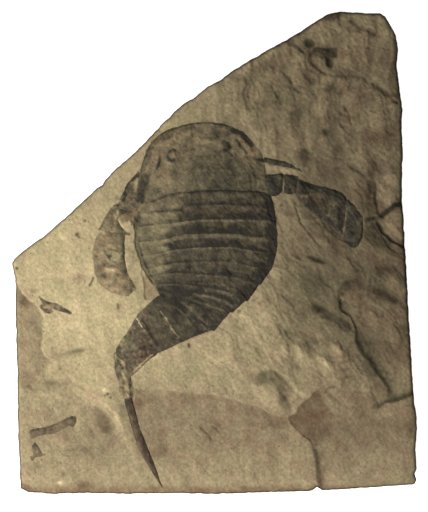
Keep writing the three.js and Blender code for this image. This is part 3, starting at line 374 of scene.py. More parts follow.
# Small dark specks on the stone: centre, radius and how dark
SPECKS = [
    (-45.4, 11.2, 0.6, 0.5), (-48.2, 6.4, 0.7, 0.7), (-47.4, 5.4, 0.5, 0.5), (23.3, 16.6, 0.8, 0.8),
    (28.1, -6.6, 0.5, 0.9), (-60.6, -72.6, 0.5, 0.5), (-63.4, -13.4, 1.6, 0.2), (35.9, 11.2, 0.5, 0.5),
    (-34.2, 14.3, 0.7, 0.4), (-37.4, -49.4, 0.6, 0.6), (-36.4, -50.6, 0.5, 0.6), (-38.4, -50, 0.4, 0.5),
    (44.3, -16.3, 0.8, 0.7), (66.4, -13, 1.1, 0.3), (-69.2, -5.4, 0.5, 0.9), (2.2, -56, 0.6, 0.4),
    (-7.8, -43.8, 0.4, 0.4), (-0.8, -38.6, 0.5, 0.4), (45.3, 56.3, 0.5, 0.5), (45.7, 51.9, 0.5, 0.5),
    (56.1, 49.3, 0.8, 0.5), (57.6, 76, 0.9, 0.5), (-2.7, 53.8, 0.6, 0.3), (-54.1, -40.5, 0.9, 0.3),
    (20.4, 9.9, 0.7, 0.3), (-45.7, -75.5, 0.6, 0.3), (8.6, -20.4, 1, 0.35), (13.8, -16.5, 0.9, 0.3),
    (38.9, -48.6, 1, 0.6), (-68.7, -40, 0.4, 0.4), (34.3, 11.2, 0.6, 0.4), (12.6, 50.8, 0.5, 0.4),
]

# Edges of the flattened trunk, from the head to the tail
TRUNK_LEFT = [
    (-26.1, 28.3), (-26.6, 16.1), (-26.9, 10.8), (-26.9, 7.3), (-26.6, 3), (-25.7, -1.5), (-24.1, -5.3),
    (-22.3, -9.2), (-20.4, -12.7), (-19.4, -14.6), (-21.7, -16.5), (-25.5, -19.8), (-27.4, -22.2),
    (-30.8, -28.1), (-34.2, -33.1), (-34.5, -34.5),
]
TRUNK_RIGHT = [
    (17.7, 29.7), (18.4, 23.4), (19.8, 19.9), (20.8, 14), (21.9, 7.3), (21.9, 4.5), (21.3, -0.1),
    (19.6, -5.8), (16.3, -11.1), (11.5, -17), (6.1, -20.9), (-0.2, -27.4), (-11.1, -31.2), (-19.6, -35.1),
    (-28.2, -42.4), (-29.3, -43.1),
]

# Head shield: outer margin from the left rear corner round the front, and the rear edge
CARAPACE_MARGIN = [
    (-26.1, 18), (-26.1, 22), (-26.1, 28.3), (-25.1, 32.2), (-22.6, 38.1), (-19.1, 41.6), (-14.9, 43.5),
    (-10.7, 44.8), (-6.5, 45.6), (-1.6, 45.7), (3.7, 44.9), (8.9, 42.8), (11, 41.3), (13.8, 38.1),
    (16.6, 33.9), (17.7, 29.7), (18, 26.9), (18.4, 23.4), (19.8, 19.9),
]
CARAPACE_REAR = [
    (-26.1, 17.5), (-20.7, 18.5), (-15.9, 20.1), (-11.1, 20.9), (-5.1, 21.7), (3.7, 21.9), (9.3, 21.7),
    (16.6, 21.3), (19.8, 19.9),
]

# Back plates: how much of the margin in front each one spans, how dark its broad band is, how pale its front
# is and how wide that pale front is, and its rear margin from left to right
TERGITES = [
    (1, 0.04, 0, 0.5, [
        (-26.7, 13.9), (-18.4, 14.4), (-14.9, 14.8), (-11.7, 15.4), (-8.9, 16.3), (-3.7, 16.8), (3.7, 16.8),
        (11, 16.6), (20.6, 16.4)]),
    (1, 0.24, 0.05, 0.6, [
        (-26.9, 9.1), (-18.4, 10), (-14.9, 10.3), (-8.9, 11.1), (-3.7, 11.6), (11, 11.6), (21.5, 11.2)]),
    (1, 0.14, 0.22, 0.7, [
        (-26.7, 3.7), (-18.4, 4.6), (-11, 6.3), (-5.8, 6.6), (7.5, 6.6), (13.1, 5.6), (21.9, 5.2)]),
    (1, 0.22, 0.28, 1.3, [
        (-25.7, -1.3), (-18.4, 0), (-14.9, 0.9), (-10.3, 1.5), (1.9, 2), (7.5, 1.8), (11.4, 1.1),
        (21.5, -0.4)]),
    (1, 0.08, 0.2, 0.5, [
        (-24, -5.7), (-14.9, -3.7), (-7.4, -3.2), (0.2, -3), (7.5, -3.4), (13.1, -4.8), (19.8, -5.8)]),
    (1, 0.1, 0.12, 0.5, [
        (-22.7, -8.3), (-13.3, -7), (-1.9, -7.8), (7.5, -8.6), (10.3, -9.7), (16.1, -11.1)]),
    (0.98, 0.08, 0.16, 0.5, [(-21.3, -11), (-12.2, -11), (-1.5, -12.3), (7.5, -14.5), (11.5, -17)]),
    (0.975, 0.08, 0.14, 0.5, [(-19.6, -13.2), (-11.8, -15.2), (-3.7, -17.6), (0, -18.9), (6.1, -20.9)]),
    (0.965, 0.08, 0.08, 0.5, [(-19.2, -14.8), (-13.7, -19), (-8.1, -22.2), (-5.2, -24.5), (-0.2, -27.4)]),
    (0.93, 0.02, 0.04, 0.5, [(-21.7, -16.5), (-18.5, -21.9), (-14.1, -27.1), (-11.4, -31.2)]),
    (1, -0.02, 0.04, 0.5, [(-27.4, -22.2), (-25.2, -25.3), (-23, -28.2), (-21.1, -31.1), (-19.6, -35.1)]),
]

# Outlines of the other shell pieces, with how dark each is, its warmth, how high it is crowned and how wide
# its edge fades
SHELLS = {
    "pretelson": (0.62, 0.1, 0.5, 0.1, [
        (-27.2, -22.6), (-25.2, -25.5), (-23, -28.4), (-21.2, -31.2), (-20, -34.8), (-23.3, -37.5),
        (-25.8, -40), (-28.2, -42.4), (-29.3, -43.1), (-30, -40.3), (-30.4, -37.9), (-32.9, -36.3),
        (-34.5, -34.5), (-34.2, -33.1), (-32.6, -30.5), (-30.8, -28.1), (-29.1, -25.3)]),
    "telson_base": (0.38, -0.3, 0.5, 0.6, [
        (-34.5, -34.5), (-35, -36.4), (-35, -38.6), (-35, -40.6), (-34.3, -43.4), (-33.4, -45.2),
        (-33.5, -47.6), (-32.3, -50.8), (-29, -50.9), (-29, -48.4), (-29.2, -45.8), (-29.3, -43.1),
        (-30, -40.3), (-30.4, -37.9), (-32.9, -36.3)]),
    "left_leg_base": (0.5, 0.1, 0.35, 0.4, [
        (-26.4, 28.3), (-28.4, 26.6), (-30.2, 24.7), (-31.6, 22.6), (-32.4, 20.3), (-33.3, 18.5),
        (-32.8, 17.5), (-35.7, 16.2), (-33.1, 15.5), (-30.3, 15), (-26.4, 15.8), (-26.2, 18.5),
        (-26.2, 23.8)]),
    "left_leg_segment": (0.43, 0.05, 0.4, 0.2, [
        (-35.9, 15.9), (-37.3, 14), (-38.7, 11.9), (-39.8, 9.8), (-40.5, 7.7), (-36, 7.5), (-31.9, 7),
        (-32.4, 8.7), (-33.8, 11.5), (-32.6, 13.1), (-30.6, 14.6), (-33.1, 15.3)]),
    "left_paddle": (0.32, 0.35, 0.5, 0.12, [
        (-38.7, 7.7), (-41.2, 5.9), (-42, 3.5), (-42.6, 1), (-42.7, -1.5), (-42.2, -4.3), (-41.9, -7.4),
        (-41.2, -9.5), (-39.8, -11.6), (-37.7, -13), (-35.6, -14.2), (-33.1, -14.9), (-31, -15.4),
        (-29.3, -14.6), (-28.6, -13.4), (-27.9, -13.4), (-27.7, -12.3), (-28.2, -10.9), (-29.3, -9.2),
        (-30.3, -7.1), (-30.8, -5.3), (-31.4, -1.8), (-31.5, 1.7), (-31.5, 4.5), (-31.5, 6.8), (-36, 7.2)]),
    "right_leg_base": (0.86, -0.2, 0.4, 0, [
        (17.2, 26.9), (20.9, 27.5), (23.8, 27.5), (23.7, 24), (23.2, 20.9), (20.4, 19.8), (18.6, 21),
        (17.6, 24.2)]),
    "right_leg_knee": (0.86, -0.2, 0.35, 0, [
        (24.3, 27.3), (26.4, 27.1), (28.9, 26.7), (29.2, 25.2), (28.9, 22.8), (28.4, 21), (24.5, 20.9),
        (24.5, 24)]),
    "right_leg_segment": (0.8, 0.1, 0.6, 0, [
        (29, 25.3), (31.4, 24.8), (34.2, 24), (37, 23.2), (41, 22.3), (43.9, 21.2), (46.1, 18.9),
        (45.7, 16.4), (45.8, 13.6), (45.3, 10), (44.9, 7.5), (44.2, 6.1), (42.3, 8.2), (39, 10.6),
        (35, 13.4), (31.4, 16.2), (29.2, 19), (28.4, 20.6)]),
    "right_paddle": (0.86, 0, 0.45, 0, [
        (46.3, 18.6), (47.9, 17.4), (49.3, 16), (50.3, 14.5), (51.3, 13.3), (51.9, 11), (51.9, 8.2),
        (51.5, 5.2), (50.6, 3.2), (49.2, 2), (47.6, 1.9), (46.3, 3.1), (45.4, 5.2), (45.1, 8.2),
        (45.7, 11.4), (46, 13.8), (46, 16.2)]),
    "cuticle_strip": (0.55, 0.5, 0.06, 0.15, [
        (-64.8, -62.6), (-64.3, -61.9), (-60.2, -61.2), (-58.1, -60.6), (-55.5, -59.7), (-52.9, -58.4),
        (-50.8, -57.4), (-49, -57.2), (-48.6, -57.5), (-48.6, -59.8), (-49, -60.6), (-49.7, -61.1),
        (-51, -60.6), (-52.6, -61.4), (-54.5, -62.6), (-56.6, -63.4), (-58.9, -63.5), (-61.3, -64.1),
        (-64, -65), (-64.5, -64.6)]),
    "cuticle_chip": (0.54, 0.4, 0.06, 0.3, [
        (-63.3, -66.4), (-61.9, -67.4), (-61, -69.2), (-60.5, -71), (-62.5, -71.6), (-64, -72.8),
        (-64.5, -71.3), (-63.4, -70.5), (-64, -68.7), (-63.8, -67.4)]),
    "cuticle_twig": (0.38, 0.4, 0.06, 0.4, [
        (-61.7, -15.2), (-60.4, -15.8), (-59, -16.9), (-56.9, -17.5), (-54.8, -17.9), (-52.7, -19.1),
        (-50.1, -20.7), (-50.3, -21.7), (-52.7, -20.9), (-55.2, -20.1), (-56.9, -19.7), (-56.4, -20.6),
        (-57.3, -21.3), (-59, -21), (-60.7, -19.8), (-61.4, -18.6), (-60.2, -18), (-60.8, -16.8)]),
}

# Joints where one plate meets the next, so that neither fades out there
JOINTS = [
    [(-26.3, 29.5), (-26.2, 23), (-26.4, 15)],
    [(-35.9, 16.2), (-33.1, 15.4), (-30.3, 14.9), (-26.4, 15.8)],
    [(-40.5, 7.6), (-36, 7.3), (-31.6, 7)],
    [(17.4, 29.7), (18, 23.6), (20, 19.8)],
    [(29.1, 26.8), (29, 23.8), (28.2, 20.8)],
    [(46.2, 17), (45.9, 12.6), (45.2, 8.2), (45.4, 5.2)],
    [(-34.6, -34.5), (-32.9, -36.3), (-30.4, -37.9), (-30, -40.3), (-29.3, -43.1)],
]

# The tail spine and the thin leg follow a path: each point is x, y and half width
TELSON_PATH = [
    (-30.3, -50.6, 1.3), (-29.9, -53, 1.4), (-29.1, -55.6, 1.4), (-28.2, -59, 1.4), (-27.1, -62.6, 1.45),
    (-25.8, -66.4, 1.5), (-24.2, -70.2, 1.45), (-22.1, -74.4, 1.15), (-20.1, -78.4, 0.7), (-18.4, -82, 0.12),
]
WALKING_LEG_PATH = [
    (17.2, 32.8, 0.9), (19.4, 31.9, 1.05), (22.2, 31.4, 1.05), (25.8, 30.6, 0.85), (28.6, 29.5, 0.55),
    (30.8, 28.3, 0.15),
]

# How much darker or paler the shell is: centre, half widths, turn in degrees, change, warmth
SHELL_TONES = [
    # head shield: thin and pale at the left and the front, dark at the middle and the right rear
    (-20, 30, 8, 12, 0, -0.04, 0.35), (-8, 41.5, 12, 3.4, 0, -0.06, 0.3), (6, 28, 11, 6, 0, 0.06, -0.2),
    (-12, 24, 8, 4, 0, 0.02, -0.2), (14, 31, 3, 4, 0, -0.1, 0.3), (11.4, 36, 2.4, 3.6, 30, -0.08, 0.2),
    (9.4, 39.4, 0.9, 2, 35, -0.16, 0.7), (12.8, 35.2, 0.8, 1.8, 30, -0.16, 0.6),
    (10, 31.4, 1.3, 2.2, 20, -0.12, 0.7), (-17.4, 25.5, 1.8, 1.8, 0, -0.06, 0.6),
    (-0.4, 41.4, 4.2, 1.5, 5, 0.24, -0.2), (7, 27.8, 1.1, 1.2, 0, 0.22, 0), (0.6, 30.6, 0.9, 3, 5, 0.1, 0),
    (15.2, 28.8, 1.6, 2, 0, 0.2, 0.3), (-14.4, 34, 0.9, 0.9, 0, -0.1, 0.3),
    (-14, 27.6, 4, 1.4, -10, 0.06, 0), (17, 22.4, 1.4, 1.6, 0, 0.16, 0.6), (3.4, 24.6, 9, 1.6, 0, 0.06, 0),
    (-22, 36.6, 0.9, 2, -25, 0.12, 0.2), (-18.9, 39.8, 1.4, 0.9, 25, 0.2, 0.1),
    (3.7, 37, 1.7, 1.7, 0, 0.3, 0.3), (8.6, 44, 2, 0.8, -25, 0.2, 0), (13.2, 41, 1, 0.8, 0, -0.2, 0.2),
    (6.4, 39, 1.4, 1.6, 0, -0.1, 0.1), (-23.6, 22, 1.2, 3, 0, 0.1, -0.3),
    (-20.6, 20.6, 3.4, 1.2, 15, 0.08, -0.1),
    # trunk: the left is thin, the right flank is thick and almost black, with painted shade where it slopes
    # away from the light
    (-20.6, 3, 5.6, 15, -4, -0.03, -0.5), (21, 4, 2.6, 14, 0, 0.26, -0.1),
    (17.6, -8, 2.4, 8, -32, 0.22, -0.1), (10.6, -17.4, 2, 6, -52, 0.14, 0), (-6, -14, 12, 3.4, -12, 0.12, 0),
    (-14.6, -16, 4, 3, -30, 0.16, 0), (-7.2, 7.9, 4.4, 1.1, 2, 0.2, -0.1),
    (7.6, 7.9, 5.4, 1.1, 0, 0.2, -0.1), (-0.6, 8, 1.6, 1.1, 0, -0.1, 0.1),
    (-17.6, 12.6, 5, 0.9, 4, -0.08, -0.1), (-19, 7.4, 5, 0.9, 8, -0.08, -0.2),
    (-18, 2.2, 5, 1, 12, -0.06, -0.2), (-18, -5, 3.6, 1.4, 12, -0.1, -0.1), (-4, 14.8, 10, 1, 0, -0.04, 0.3),
    (12, 14, 7, 1.6, 0, 0.02, 0.3), (-20.6, 6.4, 1.2, 0.7, 10, 0.14, 0), (-16, 6.8, 1.2, 0.6, 10, 0.12, 0),
    (-19.6, 14.2, 1.6, 0.5, 5, 0.16, 0), (-14.4, 8.6, 1.4, 1, 0, 0.12, 0), (-15.6, 18.2, 8, 1.6, 6, 0.09, 0),
    (-8.1, -15.4, 0.5, 0.4, 0, -0.35, 0), (-12.6, -3.6, 2.6, 1.4, 10, 0.1, 0),
    (-9.4, -33, 0.6, 1.2, 0, 0.4, 0), (-20.2, -19.8, 0.8, 0.8, 0, -0.16, 0.7),
    (-17, -24, 0.8, 0.8, 0, -0.18, 0.7), (-14, -23.6, 2.6, 4, 40, 0.08, 0),
    (-22.4, -24.6, 2.4, 4.6, 32, -0.06, 0.1), (-18.6, -30.4, 2, 3.6, 30, 0.04, 0.4),
    # last plate: grey-green at the left, stained brown in the middle
    (-23.4, -32.8, 3.2, 5, 35, 0.16, 0.9), (-26.6, -36.6, 2.4, 3, 35, 0.06, 0.8),
    (-31.4, -30.8, 1.8, 4.4, 30, -0.2, -1), (-33.6, -34.4, 0.8, 0.8, 0, 0.16, -0.5),
    (-31.9, -34, 0.9, 0.7, 20, -0.3, -0.8), (-30.4, -35.6, 1, 0.6, 20, -0.1, -0.3),
    (-27.8, -31, 0.6, 2.8, 30, -0.12, -0.1), (-24.6, -29.8, 0.7, 0.7, 0, 0.16, 0.2),
    (-22.4, -31.4, 0.6, 0.6, 0, -0.16, 0.3), (-25, -33.4, 0.7, 0.6, 0, 0.18, 0.3),
    (-27.2, -35, 0.6, 0.6, 0, 0.14, 0.3), (-23.8, -34.8, 0.5, 0.5, 0, -0.14, 0.3),
    (-28.8, -37.6, 0.6, 0.8, 0, -0.16, 0.5), (-28.6, -40.4, 0.8, 0.6, 0, -0.14, 0.5),
    (-26.4, -38, 0.5, 0.7, 0, 0.16, 0.3),
    # base of the left swimming leg
    (-29.4, 22.4, 1.5, 2.4, -10, 0.24, 0.2), (-27.3, 24, 0.8, 2.4, -8, -0.34, -0.3),
    (-29.4, 24.7, 0.5, 0.4, 0, -0.4, 0.3), (-27.6, 27.2, 1, 0.6, 30, 0.24, 0),
    (-28.6, 19.4, 1.4, 0.9, 0, -0.06, 0.5), (-26.7, 18.4, 0.6, 1.2, 0, 0.34, 0.1),
    (-28.2, 17.2, 0.9, 0.7, 0, 0.16, 0.7), (-29.8, 17.6, 0.8, 0.6, 0, -0.1, 0.5),
    (-31.6, 17.4, 1.2, 0.7, 10, 0.2, 0.2), (-30.9, 16, 1, 0.5, 0, 0.14, 0.1),
    (-27.6, 20.8, 0.5, 0.6, 0, 0.24, 0.2), (-30.9, 20.2, 0.6, 0.8, 0, 0.26, 0.1),
    # its segment
    (-31.8, 14.4, 1.5, 1.2, 5, 0.36, -0.4), (-34, 14.4, 0.35, 1.1, 8, -0.5, 0),
    (-34.5, 12.2, 0.35, 1.2, 10, -0.4, 0), (-34.7, 10.4, 0.4, 0.5, 0, -0.4, 0),
    (-35.6, 13.6, 0.4, 1.8, -12, 0.2, 0.1), (-37.4, 10.4, 1.8, 1.8, 20, -0.02, 0.2),
    (-33.3, 8.2, 0.9, 1.6, 0, 0.14, -0.6), (-35.4, 8.6, 0.7, 0.6, 0, 0.1, 0),
    (-32.6, 11.4, 0.9, 0.8, 0, -0.2, 0),
    # its paddle
    (-31.9, 0.3, 0.9, 6.8, 3, 0.48, -0.8), (-31, -7, 0.7, 2.4, -20, 0.24, -0.1),
    (-36.7, -1.2, 0.9, 0.7, 0, 0.5, 0.1), (-38.9, -8.3, 1, 1, 0, 0.42, 0.1),
    (-31.3, -12, 0.8, 0.7, 0, 0.3, 0.1), (-34.7, -9.9, 0.7, 0.6, 0, 0.26, 0.1),
    (-29.3, -13.3, 0.8, 0.7, 0, 0.36, 0.2), (-40.8, 1, 0.9, 3.6, 0, 0.12, 0.2),
    (-35.2, -1.4, 2.3, 1.9, 15, -0.24, -1.3), (-37.6, 3.4, 1.8, 1.6, 0, 0.12, 0.3),
    (-34, 4.4, 1, 2.2, 0, 0.12, -0.4), (-36.4, 5.8, 3, 0.8, 0, 0.06, 0.2),
    (-38.2, -4, 2.4, 0.6, 10, 0.24, 0), (-35, -12.4, 2, 0.9, 0, -0.06, 0.3),
    (-36.6, -6.2, 2.2, 0.7, 10, -0.14, 0.1), (-33, -4.4, 1, 0.8, 0, 0.18, 0),
    (-33.6, -7.6, 0.8, 0.6, 0, 0.2, 0.1), (-40.4, -5.8, 0.8, 1, 0, 0.16, 0.1),
    (-36.6, -11.6, 0.9, 0.6, 0, 0.18, 0.2), (-32.6, -13.6, 0.7, 0.5, 0, 0.16, 0.2),
    (-41.6, -1.6, 0.6, 0.8, 0, 0.18, 0),
    # right swimming leg
    (40.6, 14, 1.8, 2.8, 20, -0.12, -0.3), (36.6, 19, 4, 2, -20, -0.02, 0.4),
    (43.7, 12.6, 0.7, 4, 0, 0.3, 0.1), (34.6, 17.8, 5, 2.2, -32, -0.02, 0.5),
    (36.5, 22, 7, 1.2, -14, 0.06, -0.6), (36.6, 14.4, 3.4, 1, -38, 0.08, 0.5),
    (47.6, 9.4, 1.1, 5.6, 0, 0.16, 0), (50.9, 8.4, 0.6, 5, 0, -0.16, 0),
    (31.4, 19.6, 1.8, 0.7, -10, -0.12, 0.2), (26.6, 23.6, 1.6, 2.4, 0, 0.02, -0.3),
    (20.6, 24, 1.6, 2.4, 0, 0.06, -0.3), (49.4, 15.6, 1, 1.6, 30, 0.12, 0), (34, 17, 2.4, 1, -40, 0.08, 0.3),
    (42, 20.4, 2, 0.7, -20, 0.1, 0), (49.2, 3.4, 1.6, 1.2, 0, 0.08, 0.2),
    # root of the tail spine
    (-34.6, -39.8, 0.5, 2, 0, 0.5, -0.8), (-32.1, -38.3, 1.1, 0.8, 20, -0.3, 0.5),
    (-30.9, -38.4, 0.4, 0.8, 0, 0.2, 0.1), (-33.3, -38, 0.5, 0.5, 0, 0.2, -0.3),
    (-32.3, -40.4, 0.6, 0.5, 0, 0.34, 0.2), (-33.8, -43, 0.5, 1.7, 12, 0.36, -0.8),
    (-31.6, -42.4, 0.5, 1.6, 5, -0.26, 0.2), (-32.7, -41.6, 0.4, 0.8, 0, 0.26, -0.3),
    (-30.4, -42.6, 0.4, 1.6, -8, 0.2, 0.2), (-30.7, -45.2, 0.5, 0.7, 0, 0.16, 0.6),
    (-32, -45.6, 0.9, 0.6, 0, 0.22, 0.6), (-32.7, -47.6, 0.5, 1.4, 0, 0.14, 0.6),
    (-29.4, -45.6, 0.4, 2.4, -5, 0.36, 0.1), (-30.9, -48, 0.9, 0.9, 0, -0.22, 0.6),
    (-29.3, -49.6, 0.3, 1.4, 0, 0.3, 0.3), (-30.2, -49.7, 0.4, 0.3, 0, -0.4, 0.1),
    (-31.8, -49.8, 0.6, 0.4, 0, 0.2, 0.5),
    # the tail spine is stained brown
    (-26, -65, 7, 20, 22, 0, 1),
    # loose bits
    (-57.2, -61.4, 3, 1.4, 18, 0.06, 0.2), (-50.6, -59, 1.1, 1.1, 10, -0.1, -0.2),
    (-63, -63.2, 1.8, 1.2, 10, -0.12, 0.2), (-61.5, -17.8, 0.6, 0.5, 30, 0.14, 0.2),
    (-60.4, -18.8, 0.8, 0.5, -40, 0.24, 0.2), (-60.4, -15.9, 0.8, 0.5, -30, 0.16, 0.2),
    (-58.4, -20.9, 1, 0.4, -5, 0.24, 0.2), (-57.8, -17.4, 0.7, 0.4, 0, 0.16, 0.2),
    (-58.2, -18.8, 1.6, 0.7, 0, -0.24, 0.2), (-55.8, -19.4, 0.7, 0.4, -10, 0.2, 0.2),
    (-52.4, -20, 1.6, 0.5, -20, 0.2, 0.2), (-54.4, -18.9, 0.8, 0.4, -20, -0.1, 0.2),
    (-62.4, -69, 0.8, 1.6, 10, -0.06, 0), (-63.8, -71.8, 0.6, 0.8, 0, 0.04, 0.2),
]

# Lines on the shell: change, half width and the line
SHELL_LINES = [
    # the edge of the head shield and the fold inside it
    (0.18, 0.3, [
        (-25, 28), (-24, 32), (-21.6, 37.2), (-18.4, 40.4), (-14.6, 42.3), (-10.4, 43.6), (-6.3, 44.4),
        (-1.6, 44.5), (3.4, 43.8), (8.2, 41.8)]),
    (0.66, 0.72, [(5.2, 42.9), (6.8, 42.6), (8.5, 42), (11.6, 39.4), (13.6, 37)]),
    (0.5, 0.5, [(7.7, 40), (9.9, 36.3), (11.6, 34.4)]),
    (0.3, 0.4, [(9.4, 41), (12.4, 37.4), (13.4, 34.8)]),
    (0.62, 0.55, [(12.6, 33.2), (14.4, 32.6), (16.6, 32.2), (18.2, 32.4)]),
    (0.3, 0.5, CARAPACE_REAR),
    (0.12, 0.5, [(-22.4, 17.9), (-20.3, 18.6), (-15.6, 20.2), (-11, 21)]),
    (0.16, 0.5, [(-10, 16.6), (0, 17.1), (10, 16.9), (20, 15.8)]),
    # the eyes
    (0.66, 0.5, [
        (-13.4, 35.5), (-14.6, 35.9), (-15.8, 35.4), (-16.4, 34), (-16, 32.6), (-14.8, 32.1),
        (-13.6, 32.5)]),
    (0.5, 0.6, [(2, 38.2), (3.4, 38.8), (4.8, 38.2), (5.2, 36.8), (4.4, 35.6), (2.8, 35.6)]),
    (0.45, 0.5, [(4.6, 35.4), (5.4, 34.4), (6.4, 33.4)]),
    # marks between and beside the eyes
    (0.58, 0.5, [(-18.8, 34.4), (-19.2, 31.6), (-20.4, 28.8)]),
    (0.34, 0.4, [(-12.2, 36), (-11.2, 36.3)]),
    (0.36, 0.4, [(-10.4, 35.4), (-9.6, 35.6)]),
    (0.32, 0.4, [(-8, 36.2), (-6.2, 36.1)]),
    (0.34, 0.4, [(-8, 45.4), (-8.1, 42.5), (-7.7, 39.9)]),
    (0.12, 0.4, [(-7.7, 40), (-7.9, 36.4), (-8.6, 33.4)]),
    (0.26, 0.5, [(-14.6, 41.4), (-16.4, 40.2), (-18.6, 38.6)]),
    (0.2, 0.5, [(-11.6, 29.4), (-9.6, 28.8)]),
    (0.3, 0.4, [(12, 31), (13.4, 29.4), (14.2, 27), (15.4, 25.4)]),
    (0.24, 0.4, [(-3.8, 40.2), (-1, 40), (3.4, 40.6)]),
    (0.22, 0.4, [(-24.2, 30.4), (-22.6, 32.8), (-22, 35.4)]),
    (-0.16, 0.5, [(-5, 38.4), (-1.6, 38.6), (1, 38.8)]),
    (0.2, 0.4, [(-12, 43), (-8.6, 43.6), (-4.6, 43.8)]),
    # a joint of the trunk at its left
    (0.26, 0.35, [(-24.6, 13.8), (-17.6, 14.4), (-10.8, 15.2)]),
    # the left edge of the trunk
    (0.34, 0.4, [(-26.3, 14), (-26.5, 8.3), (-26.3, 2.7), (-25.3, -1.5), (-23.7, -5.3), (-22, -8.9)]),
    # pale streaks that fan out over the tail plates
    (-0.24, 0.45, [(-8, -10.4), (-2.3, -10.8), (3.8, -11.6), (10, -13.8)]),
    (-0.3, 0.55, [(-3.8, -13.2), (3.1, -13.9), (9.2, -16.8)]),
    (-0.31, 0.5, [(-7.8, -14.3), (0, -15.8), (7, -19.2)]),
    (-0.28, 0.5, [(-10, -15.4), (-2.3, -18.1), (4.6, -20.8)]),
    (-0.31, 0.5, [(-11.6, -17), (-6.2, -21.6), (-2.4, -25.4)]),
    (-0.28, 0.5, [(-13.8, -18.5), (-10, -22.4), (-7, -26.8)]),
    (-0.4, 0.5, [(-5.1, -24.4), (-3, -26.9)]),
    (0.24, 0.5, [(-15.4, -15.4), (-9.4, -16.6), (-3, -19.6), (2.6, -22.4)]),
    (0.22, 0.5, [(-14.6, -14), (-6.6, -13.4), (1.6, -15), (7.6, -17.6)]),
    (0.22, 0.5, [(-14, -19.6), (-8.6, -23.2), (-4.6, -27.6)]),
    (-0.65, 0.28, [(-19.4, -20), (-16, -24.8), (-12.2, -30)]),
    (-1.1, 0.24, [(-27.3, -22.6), (-26.2, -24.5), (-25.1, -26.4)]),
    (0.42, 0.3, [(-25.8, -22.6), (-22.8, -27.4), (-19.9, -32.6)]),
    (-1.1, 0.26, [(-21.4, -35.2), (-25, -38.4), (-28.6, -41.7)]),
    (0.36, 0.22, [(-20.6, -35.4), (-24.9, -39.1), (-28.6, -42.5)]),
    (-0.34, 0.3, [(-6.6, -8), (-5, -8)]),
    # the tail spine: a grey keel left of the middle between dark sides, partly grey shell and partly a
    # painted highlight where the keel faces the light
    (-0.14, 0.4, [(-30.2, -53.2), (-29.1, -58.5), (-27.3, -64.5), (-25.2, -70.8), (-22.8, -76)]),
    (0.12, 0.3, [
        (-29, -51.5), (-26.6, -60.1), (-24.4, -68), (-22.2, -73.2), (-20.1, -77.4), (-18.7, -81.6)]),
    (0.12, 0.3, [(-31.3, -51.5), (-30.4, -57), (-28.6, -63), (-27, -68), (-24.6, -72.6), (-21.6, -78)]),
    # rims and ribs of the legs
    (0.62, 0.5, [
        (-26.2, 27.6), (-27.9, 26.4), (-29.8, 24.9), (-31, 23.2), (-31.6, 21.3), (-31.2, 19.6),
        (-32.6, 18)]),
    (0.5, 0.5, [(-30.6, 19.6), (-29.2, 18.9), (-27.8, 19.2), (-26.6, 17.6)]),
    (0.4, 0.45, [(-29.2, 17.2), (-27.8, 16.6), (-26.8, 15.2)]),
    (0.4, 0.45, [(-31.6, 18.4), (-33.2, 17.4), (-34.6, 16.2)]),
    (0.18, 0.3, [(-35.6, 15.6), (-37, 13.6), (-38.2, 11.7), (-39.3, 9.6), (-40, 7.9)]),
    (0.22, 0.3, [(-30.6, 16.4), (-29.2, 15.6), (-27.2, 16)]),
    (0.34, 0.3, [(-39, -4.3), (-37.4, -4.9), (-35.8, -4.2), (-34.2, -5)]),
    (-0.24, 0.35, [(-38.6, -5.3), (-36.6, -5.9), (-34, -5.9)]),
    (0.28, 0.3, [(-38.8, 1.4), (-38.2, -0.4), (-36.6, -2.6), (-34, -3.2)]),
    (0.26, 0.3, [(-37.4, 1.6), (-35.6, 0.8), (-33.8, 0.6)]),
    (-0.34, 0.28, [(-40.6, 7.3), (-39.6, 7.4), (-38.8, 6.6)]),
    (-0.4, 0.4, [(45.7, 16.8), (45.8, 15.6), (46, 13.6), (45.5, 9.6), (45, 7.2)]),
    (0.26, 0.3, [(45.2, 7.2), (45.4, 5.2), (46.6, 2.6)]),
    (0.22, 0.8, [(29.6, 20), (33.4, 16.2), (37.6, 12.9), (41.4, 10.2), (44, 7.6)]),
    (0.22, 0.9, [(29.4, 24.4), (35, 23), (41, 21.4), (44.8, 19)]),
    (-0.55, 0.34, [(29.6, 18.9), (31, 20), (32.4, 19.6), (33.8, 20.8)]),
    (0.24, 0.35, [(41.6, 18.6), (43.2, 18), (44.2, 15.6)]),
    (-0.2, 0.3, [(39.6, 12.6), (41, 16), (42.4, 17.4)]),
    # edges of the loose bits
    (0.42, 0.4, [(-61, -19.1), (-59.7, -20), (-58.4, -20)]),
    (0.4, 0.4, [(-60, -20.9), (-58.6, -21.1), (-57.2, -21.4)]),
    (0.42, 0.45, [(-56.3, -19.4), (-54.6, -20.5), (-52.8, -20.4), (-51.3, -20.4), (-50.1, -21.1)]),
    (0.3, 0.5, [(-61, -16), (-60.2, -16.6)]),
    (0.26, 0.4, [(-58.6, -17.2), (-56.8, -18.4)]),
    (0.14, 0.26, [
        (-64.5, -62.1), (-60.2, -61.4), (-58.1, -60.8), (-52.9, -58.6), (-50.8, -57.6), (-48.9, -57.5)]),
    (0.2, 0.26, [(-48.9, -57.6), (-48.8, -59.8), (-49.3, -60.7)]),
    (0.12, 0.3, [(-64.7, -62.6), (-64.3, -64.6)]),
    (0.26, 0.26, [(-63.2, -66.5), (-61.9, -67.5), (-61.1, -69.2), (-60.6, -70.9)]),
    (0.24, 0.26, [(-60.6, -70.9), (-62.5, -71.5), (-63.8, -72.4)]),
]

